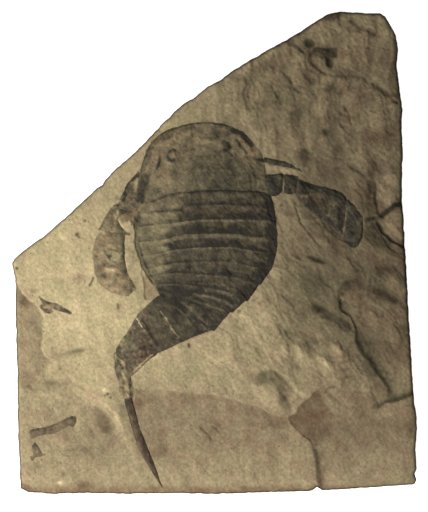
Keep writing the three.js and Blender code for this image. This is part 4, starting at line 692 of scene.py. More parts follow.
# Darker or paler areas of shell with a clear edge: change, warmth, softness and the outline
SHELL_PATCHES = [
    # the leg's base shows dark through the head shield
    (0.32, 0, 0.8, [
        (-26, 27.3), (-22.4, 27.2), (-22.8, 25.1), (-23.8, 22.3), (-24.7, 18.2), (-25.8, 17),
        (-26.9, 21.3)]),
    # the thick middle and right of the head shield
    (0.13, -0.15, 1.6, [
        (-8.8, 32), (-3.4, 35), (3.7, 35), (10, 32.4), (13.2, 27), (12.6, 21.6), (-9.6, 21.6)]),
    # the trunk's dark middle begins with a ragged edge
    (-0.05, 0.3, 0.6, [(-9.6, 16), (20, 15.6), (20.6, 13.6), (-10.4, 13.4)]),
]


class StoneSettings(bpy.types.PropertyGroup):
    """Sizes and finish of the slab."""

    spacing: FloatProperty(
        name="Mesh spacing", description="Distance between points of the slab's face",
        default=0.00045, unit="LENGTH",
    )
    grain: FloatProperty(
        name="Grain height", description="Height of the sandy grain of the stone",
        default=0.00008, unit="LENGTH",
    )
    mottle: FloatProperty(
        name="Mottle height", description="Height of the small uneven patches",
        default=0.00009, unit="LENGTH",
    )
    roughness: FloatProperty(
        name="Roughness", description="How matt the broken stone is",
        default=0.93, subtype="FACTOR", min=0, max=1,
    )


class ShellSettings(bpy.types.PropertyGroup):
    """Sizes and finish of the fossil shell."""

    spacing: FloatProperty(
        name="Mesh spacing", description="Distance between points of a plate",
        default=0.00032, unit="LENGTH",
    )
    crown: FloatProperty(
        name="Vault", description="Height of the vaulted back as a share of its width",
        default=0.034, subtype="FACTOR",
    )
    lift: FloatProperty(
        name="Plate lift", description="How far a plate's rear margin rides over the next",
        default=0.0002, unit="LENGTH",
    )
    roughness: FloatProperty(
        name="Roughness", description="How matt the black shell is",
        default=0.68, subtype="FACTOR", min=0, max=1,
    )


class StageSettings(bpy.types.PropertyGroup):
    """Camera, lights and floor."""

    lens: FloatProperty(name="Lens", description="Focal length of the camera", default=110.0, unit="CAMERA")
    pixel: FloatProperty(
        name="Pixel", description="Width on the bedding plane that one pixel of the picture shows",
        default=0.00035, unit="LENGTH",
    )
    key_power: FloatProperty(
        name="Key power", description="Power of the soft light at the left", default=4.4, unit="POWER",
    )
    fill: FloatProperty(name="Fill", description="Brightness of the light from all round", default=0.36)
    floor_glow: FloatProperty(
        name="Floor glow", description="Light given off by the light table under the slab", default=0.9,
    )
    floor_colour: FloatVectorProperty(
        name="Floor", description="Colour of the floor",
        default=(0.55, 0.55, 0.55), subtype="COLOR", size=3,
    )


# Noise and lines

NOISE_CELLS = 128  # the pattern repeats after this many bumps
NOISE_SHIFT = (640.3, 640.7)  # moves the pattern off the round numbers, where it would be zero
NOISE_GAIN = 1.6  # brings the bumps to a height of about 1
CURVE_PARTS = 24  # places worked out between two points of a smooth line
TINY = 1e-9  # keeps a division away from zero


def noise(x, y, size, seed):
    """Smooth noise, mostly between -1 and 1, whose bumps are about the given size in mm."""
    turns = np.random.default_rng(seed).uniform(0, 2 * math.pi, (NOISE_CELLS, NOISE_CELLS))
    u = x / size + NOISE_SHIFT[0]
    v = y / size + NOISE_SHIFT[1]
    i = np.floor(u).astype(int)
    j = np.floor(v).astype(int)
    fu = u - i
    fv = v - j

    def slope(a, b):
        turn = turns[(i + a) % NOISE_CELLS, (j + b) % NOISE_CELLS]
        return np.cos(turn) * (fu - a) + np.sin(turn) * (fv - b)

    su = fu**3 * (fu * (6 * fu - 15) + 10)
    sv = fv**3 * (fv * (6 * fv - 15) + 10)
    near = slope(0, 0) * (1 - su) + slope(1, 0) * su
    far = slope(0, 1) * (1 - su) + slope(1, 1) * su
    return NOISE_GAIN * (near * (1 - sv) + far * sv)


def rough(x, y, size, octaves, seed):
    """Noise in several sizes, each half as large and half as high as the one before."""
    return sum(noise(x, y, size / 2**k, seed + k) / 2**k for k in range(octaves))


def turned(x, y, degrees):
    """Coordinates in a frame turned anticlockwise."""
    c = math.cos(math.radians(degrees))
    s = math.sin(math.radians(degrees))
    return x * c + y * s, y * c - x * s


def smooth(edge_a, edge_b, value):
    """Rises smoothly from 0 at the first edge to 1 at the second."""
    t = np.clip((value - edge_a) / (edge_b - edge_a), 0, 1)
    return t * t * (3 - 2 * t)


def bell(offset):
    """1 where the offset is zero, falling to a third where it is 1."""
    return np.exp(-(offset**2))


def beside(line, x, y):
    """Distance to a line, +1 or -1 right or left of it, the length walked to there and its whole length."""
    best = np.full(x.shape, np.inf)
    side = np.zeros(x.shape)
    along = np.zeros(x.shape)
    walked = 0.0
    for (ax, ay), (bx, by) in zip(line, line[1:]):
        dx = bx - ax
        dy = by - ay
        run = math.hypot(dx, dy)
        share = np.clip(((x - ax) * dx + (y - ay) * dy) / run**2, 0, 1)
        off_x = x - ax - share * dx
        off_y = y - ay - share * dy
        distance = np.hypot(off_x, off_y)
        nearer = distance < best
        best = np.where(nearer, distance, best)
        side = np.where(nearer, np.where(dx * off_y - dy * off_x < 0, 1, -1), side)
        along = np.where(nearer, walked + share * run, along)
        walked += run
    return best, side, along, walked


def distance_to(line, x, y):
    """Distance to a line of points."""
    return beside(line, x, y)[0]


def edge_distance(outline, x, y):
    """Distance to the edge of a closed outline."""
    return distance_to([*outline, outline[0]], x, y)


def end_fade(along, length, fade):
    """Falls to 0 at both ends of a line."""
    return np.clip(np.minimum(along, length - along) / fade, 0, 1)


def stroke(line, x, y, width, fade, power=2):
    """1 along a line, falling off at its sides within the width and at its ends within the fade."""
    distance, _, along, length = beside(line, x, y)
    return np.exp(-((distance / width) ** power)) * end_fade(along, length, fade)


def inside(outline, x, y):
    """True where a point lies in a closed outline."""
    result = np.zeros(x.shape, bool)
    for (ax, ay), (bx, by) in zip(outline, [*outline[1:], outline[0]]):
        if ay != by:
            crosses = (ay > y) != (by > y)
            result ^= crosses & (x < ax + (bx - ax) * (y - ay) / (by - ay))
    return result


def spaced(line, step, closed=False):
    """A smooth curve through the points of a line, as points one step apart."""
    points = np.array(line, float)
    if closed:
        points = np.vstack([points, points[:1]])
    before = np.vstack([points[-2:-1] if closed else 2 * points[:1] - points[1:2], points[:-1]])
    after = np.vstack([points[1:], points[1:2] if closed else 2 * points[-1:] - points[-2:-1]])
    lean = (after - before) / 2
    t = np.linspace(0, 1, CURVE_PARTS, endpoint=False)[:, None]
    curve = []
    for a, b, la, lb in zip(points[:-1], points[1:], lean[:-1], lean[1:]):
        reach = np.linalg.norm(b - a)
        la = la * reach / max(np.linalg.norm(la), TINY)
        lb = lb * reach / max(np.linalg.norm(lb), TINY)
        curve.append(
            (2 * t**3 - 3 * t**2 + 1) * a + (t**3 - 2 * t**2 + t) * la
            + (3 * t**2 - 2 * t**3) * b + (t**3 - t**2) * lb
        )
    curve = np.vstack([*curve, points[-1:]])
    walked = np.concatenate([[0], np.cumsum(np.linalg.norm(np.diff(curve, axis=0), axis=1))])
    count = max(2, round(walked[-1] / step))
    places = np.linspace(0, walked[-1], count + 1)
    if closed:
        places = places[:-1]
    return np.column_stack([np.interp(places, walked, curve[:, k]) for k in range(curve.shape[1])])


# Relief and colour of the stone

WANDER = ((0.5, 7.0, 11, 13), (0.22, 2.2, 12, 14))  # push and size in mm, and a seed for each direction
BROAD_SWELL = 0.2  # heights of the gentle swells of the bedding plane
FINE_SWELL = 0.1
STREAK_SLANT = -52  # degrees from +X at which the streaks run below the head
FLAKE_LEVELS = (-0.45, -0.1, 0.3)  # of the noise, where one thin layer gives way to the next
FLAKE_DROP = 0.3  # height of those steps where the stone is coarse, and how dark their brinks are
FLAKE_BRINK_DARKNESS = 0.25
HAIR_DEPTH = 0.12  # how deep and how dark the hair cracks are
HAIR_DARKNESS = 0.35
LEDGE_FADE = 3.0  # lengths over which ledges, grooves, bands and smears die out at their ends
GROOVE_FADE = 1.5
BAND_FADE = 1.0
SMEAR_FADE = 0.6


def wandered(x, y, reach=1.0):
    """Coordinates pushed about a little, so that nothing drawn with them has a ruled edge."""
    push_x = sum(push * noise(x, y, size, seed) for push, size, seed, _ in WANDER)
    push_y = sum(push * noise(x, y, size, seed) for push, size, _, seed in WANDER)
    return x + reach * push_x, y + reach * push_y


def blob(x, y, cx, cy, rx, ry, degrees):
    """1 at the centre of a soft oval, fading outwards."""
    u, v = turned(x - cx, y - cy, degrees)
    return np.exp(-((u / rx) ** 2) - (v / ry) ** 2)


def unevenness(x, y):
    """Swells of the bedding plane, as in the solid model."""
    broad = np.sin(0.16 * x + 0.8 * np.sin(0.11 * y)) * np.cos(0.13 * y + 0.5)
    fine = np.sin(0.61 * x - 0.43 * y + 1.3) * np.sin(0.37 * x + 0.58 * y)
    return BROAD_SWELL * broad + FINE_SWELL * fine


def coarseness(x, y):
    """How uneven the stone is: smooth at the left and the bottom, coarse at the right and the top."""
    coarse = smooth(-20, 25, x) * smooth(-56, -36, y)
    return 0.55 + 0.75 * coarse + 0.2 * smooth(40, 60, y)


def streaked(x, y, size, seed):
    """Noise drawn out along the streaks of the stone: steep at the top, slanting down to the right below."""
    steep = noise(x, y / 1.9, size, seed)
    u, v = turned(x, y, STREAK_SLANT)
    slanting = noise(u / 2.0, v, size, seed + 1)
    share = smooth(20, 46, y)
    return steep * share + slanting * (1 - share)


def mottle(x, y):
    """Small uneven patches of the stone with scattered pits."""
    patches = 1.5 * streaked(x, y, 4.6, 31) + streaked(x, y, 2.2, 33) + 0.55 * noise(x, y, 1.15, 35)
    pits = -np.clip(noise(x, y, 2.8, 36) + 0.6 * noise(x, y, 1.3, 37) - 0.5, 0, None)
    return patches + 2.0 * pits


def covered(x, y, outline, softness):
    """1 well inside an outline, 0 outside it, with a soft edge between."""
    distance = edge_distance(outline, x, y)
    signed = np.where(inside(outline, x, y), distance, -distance)
    return smooth(-softness, softness, signed)


def stone_surface(x, y, settings):
    """Height of the stone's face in mm, with tone in stops, warmth and dark film for its colour."""
    wx, wy = wandered(x, y)
    height = BEDDING_Z + unevenness(x, y)
    tone, warmth, film = np.zeros((3, *x.shape))

    for drop, width, reach, dirt_and_shade, stain_and_shadow, spread, warm, line in LEDGES:
        distance, side, along, length = beside(line, wx, wy)
        low = (side > 0) * end_fade(along, length, LEDGE_FADE)
        height -= low * drop * smooth(0, width, distance) * np.exp(-distance / reach)
        # painted shade and dirt darken the foot of the slope; the darker lower side is partly painted shadow
        # beside the step
        tone -= dirt_and_shade * low * bell((distance - 0.3 * width) / (0.35 + 0.3 * width))
        lower_layer = low * smooth(0, 0.4, distance) * bell(distance / spread)
        tone -= stain_and_shadow * lower_layer
        warmth += warm * lower_layer
    for width, depth, dirt_and_shade, line in GROOVES:
        broken = 0.75 + 0.5 * noise(wx, wy, 3.0, 45)
        shape = stroke(line, wx, wy, 0.5 * width * broken, GROOVE_FADE)
        height -= depth * shape
        # dirt and painted shade darken the inside of the groove
        tone -= dirt_and_shade * shape * broken
    for cx, cy, rx, ry, degrees, rise in LUMPS:
        height += rise * blob(wx, wy, cx, cy, rx, ry, degrees)
    for cx, cy, rx, ry, degrees, change, warm in STONE_TONES:
        shape = blob(wx, wy, cx, cy, rx, ry, degrees)
        tone += change * shape
        warmth += warm * shape
    for change, warm, width, line in STONE_BANDS:
        shape = stroke(line, wx, wy, width, BAND_FADE, 4)
        tone += change * shape * (0.9 + 0.5 * noise(x, y, 2.6, 46))
        warmth += warm * shape
    for strength, width, line in STONE_LINES:
        film += strength * stroke(line, wx, wy, width, SMEAR_FADE)
    for strength, warm, softness, outline in STONE_FILMS:
        shape = covered(wx, wy, outline, softness)
        film += strength * shape
        warmth += warm * shape
    for change, warm, softness, outline in STONE_PATCHES:
        shape = covered(wx, wy, outline, softness)
        tone += change * shape
        warmth += warm * shape
    for cx, cy, radius, strength in SPECKS:
        film += strength * blob(x, y, cx, cy, radius, 0.8 * radius, 30)

    # the grain and small patches of the stone
    uneven = mottle(x, y)
    coarse = coarseness(x, y)
    height += settings.mottle / MM * coarse * uneven
    height += settings.grain / MM * coarse * noise(x, y, 0.95, 41)
    # thin layers that flake off
    flaked = streaked(wx, wy, 11.0, 47) + 0.4 * streaked(wx, wy, 4.0, 49)
    for level in FLAKE_LEVELS:
        height += FLAKE_DROP * (coarse - 0.5) * smooth(level, level + 0.14, flaked)
        tone -= FLAKE_BRINK_DARKNESS * (coarse - 0.5) * bell((flaked - level) / 0.07)
    # hair cracks, in places where the stone is coarse
    hair = bell(np.abs(streaked(wx, wy, 8.0, 53) + 0.35 * noise(wx, wy, 2.6, 55)) / 0.06)
    hair = hair * smooth(0.1, 0.6, noise(x, y, 8.0, 57)) * smooth(0.6, 1.2, coarse)
    height -= HAIR_DEPTH * hair
    tone -= HAIR_DARKNESS * hair
    # soft clouds of tone and warmth
    tone += 0.13 * smooth(-42, -60, y) * rough(x, y, 2.6, 3, 59)
    tone += 0.17 * coarse * uneven + 0.12 * rough(x, y, 12.0, 2, 51) + 0.14 * (coarse - 0.5) * flaked
    # darker towards the right: partly the stone's tone, partly painted shade where the light falls off
    tone -= 0.12 * smooth(0, 40, x)
    warmth += 0.31 * rough(x, y, 7.0, 3, 61) + 0.2 * smooth(0, 40, x)
    return height, tone, warmth, film


# The shell plates

SHELL_WANDER = 0.45  # how far marks on the shell wander, as a share of those on the stone
SHELL_LINE_FADE = 0.5  # length over which a line on the shell dies out at its ends
EDGE_RISE = 0.08  # how far the thin edge of a plate stands above the stone
EDGE_ROUND = 0.06  # height and width of the rounded rim behind it
RIM_WIDTH = 0.45
WRINKLES = 0.07  # height of the fine wrinkles
PLATE_DEPTH = 0.9  # how deep a plate is let into the stone
RIM_FILM = 0.13  # how much darker the rim of a crisp plate is
JOINT_REACH = 0.8  # how far from a joint its plates keep their full darkness


def tergite_outline(number):
    """The outline of one back plate, with its front and rear edges."""
    reach, *_, rear = TERGITES[number]
    ahead = CARAPACE_REAR if number == 0 else TERGITES[number - 1][-1]
    front = spaced(ahead, 0.2)
    front = front[: max(2, round(reach * len(front)))]
    behind = spaced(rear, 0.2)
    return np.vstack([front, behind[::-1]]), front, behind


def vault_of(x, y, settings):
    """Height of the vaulted trunk, from the distances to its two sides."""
    left = distance_to(TRUNK_LEFT, x, y)
    width = left + distance_to(TRUNK_RIGHT, x, y)
    share = left / np.maximum(width, 0.1)
    return settings.crown * width * 4 * share * (1 - share)


def shell_colour(x, y, cover):
    """Dark film of a plate, with its warmth, from a starting darkness."""
    wx, wy = wandered(x, y, SHELL_WANDER)
    wx = wx + 0.25 * noise(x, y, 0.9, 73)
    wy = wy + 0.25 * noise(x, y, 0.9, 74)
    film = cover + 0.09 * rough(x / 1.8, y, 1.9, 3, 71) + 0.06 * rough(x, y, 7.0, 2, 75)
    film += 0.05 * noise(x, y, 0.9, 77) + 0.06 * noise(x, y, 3.0, 79)
    warmth = 0.3 * rough(x, y, 2.6, 3, 81)
    for cx, cy, rx, ry, degrees, change, warm in SHELL_TONES:
        shape = blob(wx, wy, cx, cy, rx, ry, degrees)
        film += change * shape
        warmth += warm * shape
    broken = 0.85 + 0.5 * noise(x, y, 2.2, 83)
    for change, width, line in SHELL_LINES:
        film += change * broken * stroke(line, wx, wy, width, SHELL_LINE_FADE)
    for change, warm, softness, outline in SHELL_PATCHES:
        shape = covered(wx, wy, outline, softness)
        film += change * shape
        warmth += warm * shape
    return film, warmth


# Meshes

SHARP_EDGE = math.radians(55)  # edges bent more than this stay sharp
WELD = 1e-6  # points of an outline closer than this are one point


def triangles_in(outline, spots):
    """Triangles that fill an outline and use the loose spots inside it, facing up."""
    places = np.vstack([outline, spots]) if len(spots) else outline
    made = delaunay_2d_cdt([Vector(p) for p in places], [], [list(range(len(outline)))], 1, WELD)
    first = np.array([ids[0] for ids in made[3]])
    faces = first[np.array(made[2])]
    a, b, c = (places[faces[:, k]] for k in range(3))
    area = (b[:, 0] - a[:, 0]) * (c[:, 1] - a[:, 1]) - (b[:, 1] - a[:, 1]) * (c[:, 0] - a[:, 0])
    faces[area < 0] = faces[area < 0][:, ::-1]
    return places, faces


def spots_in(outline, step):
    """Points one step apart that lie in an outline and clear of its edge."""
    low = outline.min(axis=0)
    high = outline.max(axis=0)
    across, up = np.meshgrid(np.arange(low[0], high[0], step), np.arange(low[1], high[1], step))
    spots = np.column_stack([across.ravel(), up.ravel()])
    spots = spots[inside(outline, *spots.T)]
    return spots[edge_distance(outline[::2], *spots.T) > 0.6 * step]


def anticlockwise(outline):
    """The outline turned so that it runs anticlockwise seen from above."""
    x, y = outline.T
    area = np.sum(x * np.roll(y, -1) - np.roll(x, -1) * y)
    return outline if area > 0 else outline[::-1]


def ring_faces(upper, lower):
    """Triangles between two rings of points, given by number, facing outwards."""
    next_up = np.roll(upper, -1)
    next_low = np.roll(lower, -1)
    return np.vstack([np.column_stack([upper, lower, next_low]), np.column_stack([upper, next_low, next_up])])


def add_piece(name, node, points, faces, colours, material):
    """A mesh object at the origin with its colour values, in place of its node of the solid model."""
    mesh = bpy.data.meshes.new(name)
    mesh.from_pydata((np.asarray(points) * MM).tolist(), [], [list(face) for face in faces])
    for key, values in colours.items():
        mesh.attributes.new(key, "FLOAT", "POINT").data.foreach_set("value", np.asarray(values, np.float32))
    mesh.shade_smooth()
    mesh.set_sharp_from_angle(angle=SHARP_EDGE)
    mesh.materials.append(material)
    piece = bpy.data.objects.new(name, mesh)
    bpy.context.scene.collection.objects.link(piece)
    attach(piece, "root")
    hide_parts(node)


def ragged(ring):
    """Small pushes that make an edge ragged, the same for every plate that shares it."""
    x, y = ring.T
    pushes = [0.16 * noise(x, y, 1.9, seed) + 0.08 * noise(x, y, 0.8, seed + 1) for seed in (91, 93)]
    return np.column_stack(pushes)


def add_plate(node, outline, height_of, cover, warm=0.0, soft=0.08, trunk=False):
    """A closed plate of shell that lies in the stone: a fine upper face, a thin side and a flat underside."""
    scene = bpy.context.scene
    step = scene.fossil_shell.spacing / MM
    ring = anticlockwise(spaced(outline, step, closed=True))
    ring = ring + ragged(ring)
    places, faces = triangles_in(ring, spots_in(ring, step))
    x, y = places.T
    ground, tone = stone_surface(x, y, scene.fossil_stone)[:2]
    depth_in = edge_distance(ring[::2], x, y)
    rounded = smooth(0, RIM_WIDTH, depth_in)
    top = ground + EDGE_RISE + EDGE_ROUND * rounded + height_of(x, y, depth_in)
    top += WRINKLES * rounded * rough(x, y, 1.6, 3, 95)
    film, warmth = shell_colour(x, y, cover(x, y) if callable(cover) else cover)
    warmth += warm
    rim = distance_to(plate_outlines()[0], x, y) if trunk else depth_in
    for line in JOINTS:
        rim = rim + 2 * bell(distance_to(line, x, y) / JOINT_REACH)
    if soft:
        film *= smooth(0, soft, rim + soft * (0.8 + 0.8 * noise(x, y, 1.1, 97)))
    if not trunk:
        film += RIM_FILM * max(0, 1 - 4 * soft) * bell((rim - 0.4) / 0.35)
    count = len(ring)
    under = np.column_stack([ring, ground[:count] - PLATE_DEPTH])
    points = np.vstack([np.column_stack([places, top]), under])
    floor = triangles_in(ring, np.empty((0, 2)))[1]
    side = ring_faces(np.arange(count), len(places) + np.arange(count))
    faces = np.vstack([faces, side, len(places) + floor[:, ::-1]])
    colours = {"tone": tone, "warmth": warmth, "film": film}
    colours = {key: np.concatenate([values, values[:count]]) for key, values in colours.items()}
    add_piece("shell_" + node, node, points, faces, colours, shell_material())


# Materials

# Colours of the shell from almost bare to thickest, and of the smears of it on the bare stone
SHELL_STOPS = [(0.0, "#8a7d5f"), (0.3, "#7a6e53"), (0.5, "#625843"), (0.72, "#494232"), (1.0, "#29251d")]
SMEAR_STOPS = [(0.0, "#82765a"), (0.35, "#6a5f48"), (0.7, "#4a4231"), (1.0, "#2d281e")]

# Clouds of noise in the stone: size in mm, detail, share of the fine detail, and a shift that sets it apart
CLOUDS = {
    "flecks": (1.1, 2.0, 0.6, 3.0), "sand": (0.5, 2.0, 0.6, 5.0), "dust": (0.25, 1.0, 0.5, 15.0),
    "hue": (2.6, 3.0, 0.6, 1.0), "specks": (1.0, 1.0, 0.5, 7.0), "flakes": (0.9, 1.0, 0.5, 9.0),
    "fine wear": (0.75, 3.0, 0.65, 11.0), "broad wear": (2.4, 2.0, 0.5, 13.0),
}

# The two ways in which one colour goes over another
MIX = {"data_type": "RGBA", "blend_type": "MIX", "clamp_factor": True}
TINT = {"data_type": "RGBA", "blend_type": "MULTIPLY", "clamp_factor": True}


def linear(code):
    """Linear colour from an sRGB hex code."""
    parts = [int(code[k : k + 2], 16) / 255 for k in (1, 3, 5)]
    return (*(c / 12.92 if c <= 0.04045 else ((c + 0.055) / 1.055) ** 2.4 for c in parts), 1.0)


def add_node(tree, kind, settings, links):
    """A node with its settings, and its inputs set to values or joined to outputs. Gives its outputs."""
    node = tree.nodes.new(kind)
    for key, value in settings.items():
        setattr(node, key, value)
    for key, value in links.items():
        if isinstance(value, bpy.types.NodeSocket):
            tree.links.new(value, node.inputs[key])
        else:
            node.inputs[key].default_value = value
    return node.outputs


def rock_material(name, roughness, film_colours, wear):
    """Fine dolostone with a mottled, sandy face, and shell film on it where the film value is above zero."""
    material = bpy.data.materials.new(name)
    material.use_nodes = True
    tree = material.node_tree
    tree.nodes.clear()
    add = functools.partial(add_node, tree)

    def maths(operation, *values):
        return add("ShaderNodeMath", {"operation": operation}, dict(enumerate(values)))[0]

    def share_of(value, low, high, most=1.0):
        """Goes from 0 to the most while the value goes from low to high."""
        links = {"Value": value, "From Min": low, "From Max": high, "To Max": most}
        return add("ShaderNodeMapRange", {"clamp": True}, links)[0]

    def mixed(settings, share, below, above):
        return add("ShaderNodeMix", settings, {0: share, 6: below, 7: above})[2]

    def brighter(colour, stops):
        light = maths("POWER", 2.0, stops)
        return add("ShaderNodeVectorMath", {"operation": "SCALE"}, {0: colour, "Scale": light})[0]

    place = add("ShaderNodeTexCoord", {}, {})["Object"]
    tone, warmth, film = (
        add("ShaderNodeAttribute", {"attribute_name": key}, {})["Fac"] for key in ("tone", "warmth", "film")
    )
    clouds = {}
    for key, (size, detail, share, shift) in CLOUDS.items():
        links = {"Vector": place, "Scale": 1 / (size * MM), "Detail": detail, "Roughness": share, "W": shift}
        clouds[key] = add("ShaderNodeTexNoise", {"noise_dimensions": "4D"}, links)["Fac"]

    # a cloud lies around a half: each of these is brought down to zero and given its reach
    reaches = {"flecks": 1.5, "sand": 0.8, "hue": 1.3, "fine wear": 0.55 * wear, "broad wear": 0.6 * wear}
    swings = {
        key: maths("MULTIPLY_ADD", clouds[key], reach, -0.5 * reach) for key, reach in reaches.items()
    }
    hue = maths("ADD", warmth, swings["hue"])

    # greenish and pinkish clouds, brown where the stone is iron-stained and olive where it is damp-looking
    stone = linear("#968b68")
    for low, high, code in ((-0.5, 0.5, "#9a886b"), (0.25, 1.3, "#7c6248"), (-0.25, -1.3, "#6f6c4f")):
        stone = mixed(MIX, share_of(hue, low, high), stone, linear(code))
    grains = maths("ADD", swings["flecks"], swings["sand"])
    stone = brighter(stone, maths("ADD", tone, grains))

    # sparse dark specks and pale flakes under a millimetre
    for key, low, high, strength, code in (
        ("specks", 0.68, 0.76, 0.55, "#443827"), ("flakes", 0.70, 0.78, 0.2, "#bdb391"),
    ):
        stone = mixed(MIX, share_of(clouds[key], low, high, strength), stone, linear(code))

    # film of blackened shell, worn through here and there
    worn = maths("ADD", swings["fine wear"], swings["broad wear"])
    thick = maths("MULTIPLY_ADD", worn, share_of(film, 0.0, 0.35), film)
    shell = add("ShaderNodeValToRGB", {}, {"Fac": thick})["Color"]
    ramp = shell.node.color_ramp.elements
    for position, _ in film_colours[1:-1]:
        ramp.new(position)
    for stop, (_, code) in zip(ramp, film_colours):
        stop.color = linear(code)
    for low, high, tint in ((0.0, 1.2, (1.14, 0.93, 0.89, 1.0)), (-0.1, -1.3, (0.92, 1.02, 0.94, 1.0))):
        shell = mixed(TINT, share_of(hue, low, high), shell, tint)
    shell = brighter(shell, maths("MULTIPLY", swings["sand"], 1.125))
    colour = mixed(MIX, share_of(thick, 0.03, 0.3), stone, shell)

    # relief of the flecks, the sand and the dust, which is too fine for the mesh
    relief = maths("MULTIPLY_ADD", clouds["sand"], 0.6, clouds["flecks"])
    relief = maths("MULTIPLY_ADD", clouds["dust"], 0.3, relief)
    bump = add("ShaderNodeBump", {}, {"Strength": 0.55, "Distance": 0.0003, "Height": relief})[0]
    links = {"Base Color": colour, "Roughness": roughness, "Specular IOR Level": 0.2, "Normal": bump}
    shader = add("ShaderNodeBsdfPrincipled", {}, links)[0]
    add("ShaderNodeOutputMaterial", {}, {"Surface": shader})
    return material


def stone_material():
    """Dolostone: fine-grained, broken along its bedding, dull and slightly sandy."""
    name = "Dolostone, broken face"
    settings = bpy.context.scene.fossil_stone
    return bpy.data.materials.get(name) or rock_material(name, settings.roughness, SMEAR_STOPS, 0.6)


def shell_material():
    """Carbonised cuticle: a brittle dark film with a faint gloss, pressed onto the stone."""
    name = "Carbonised cuticle"
    settings = bpy.context.scene.fossil_shell
    return bpy.data.materials.get(name) or rock_material(name, settings.roughness, SHELL_STOPS, 1.0)


# Operators


def plate_outlines():
    """Outlines of everything that lies in the stone: trunk, legs and loose bits."""
    trunk = [*CARAPACE_MARGIN, *TRUNK_RIGHT[3:], *TRUNK_LEFT[:0:-1]]
    return [trunk, *(data[-1] for data in SHELLS.values())]


def hidden_depth(x, y):
    """How far a point lies inside the shell that covers it, or 0 on bare stone."""
    depth = np.zeros(x.shape)
    for outline in plate_outlines():
        near = inside(outline, x, y)
        depth[near] = np.maximum(depth[near], edge_distance(outline, x[near], y[near]))
    return depth


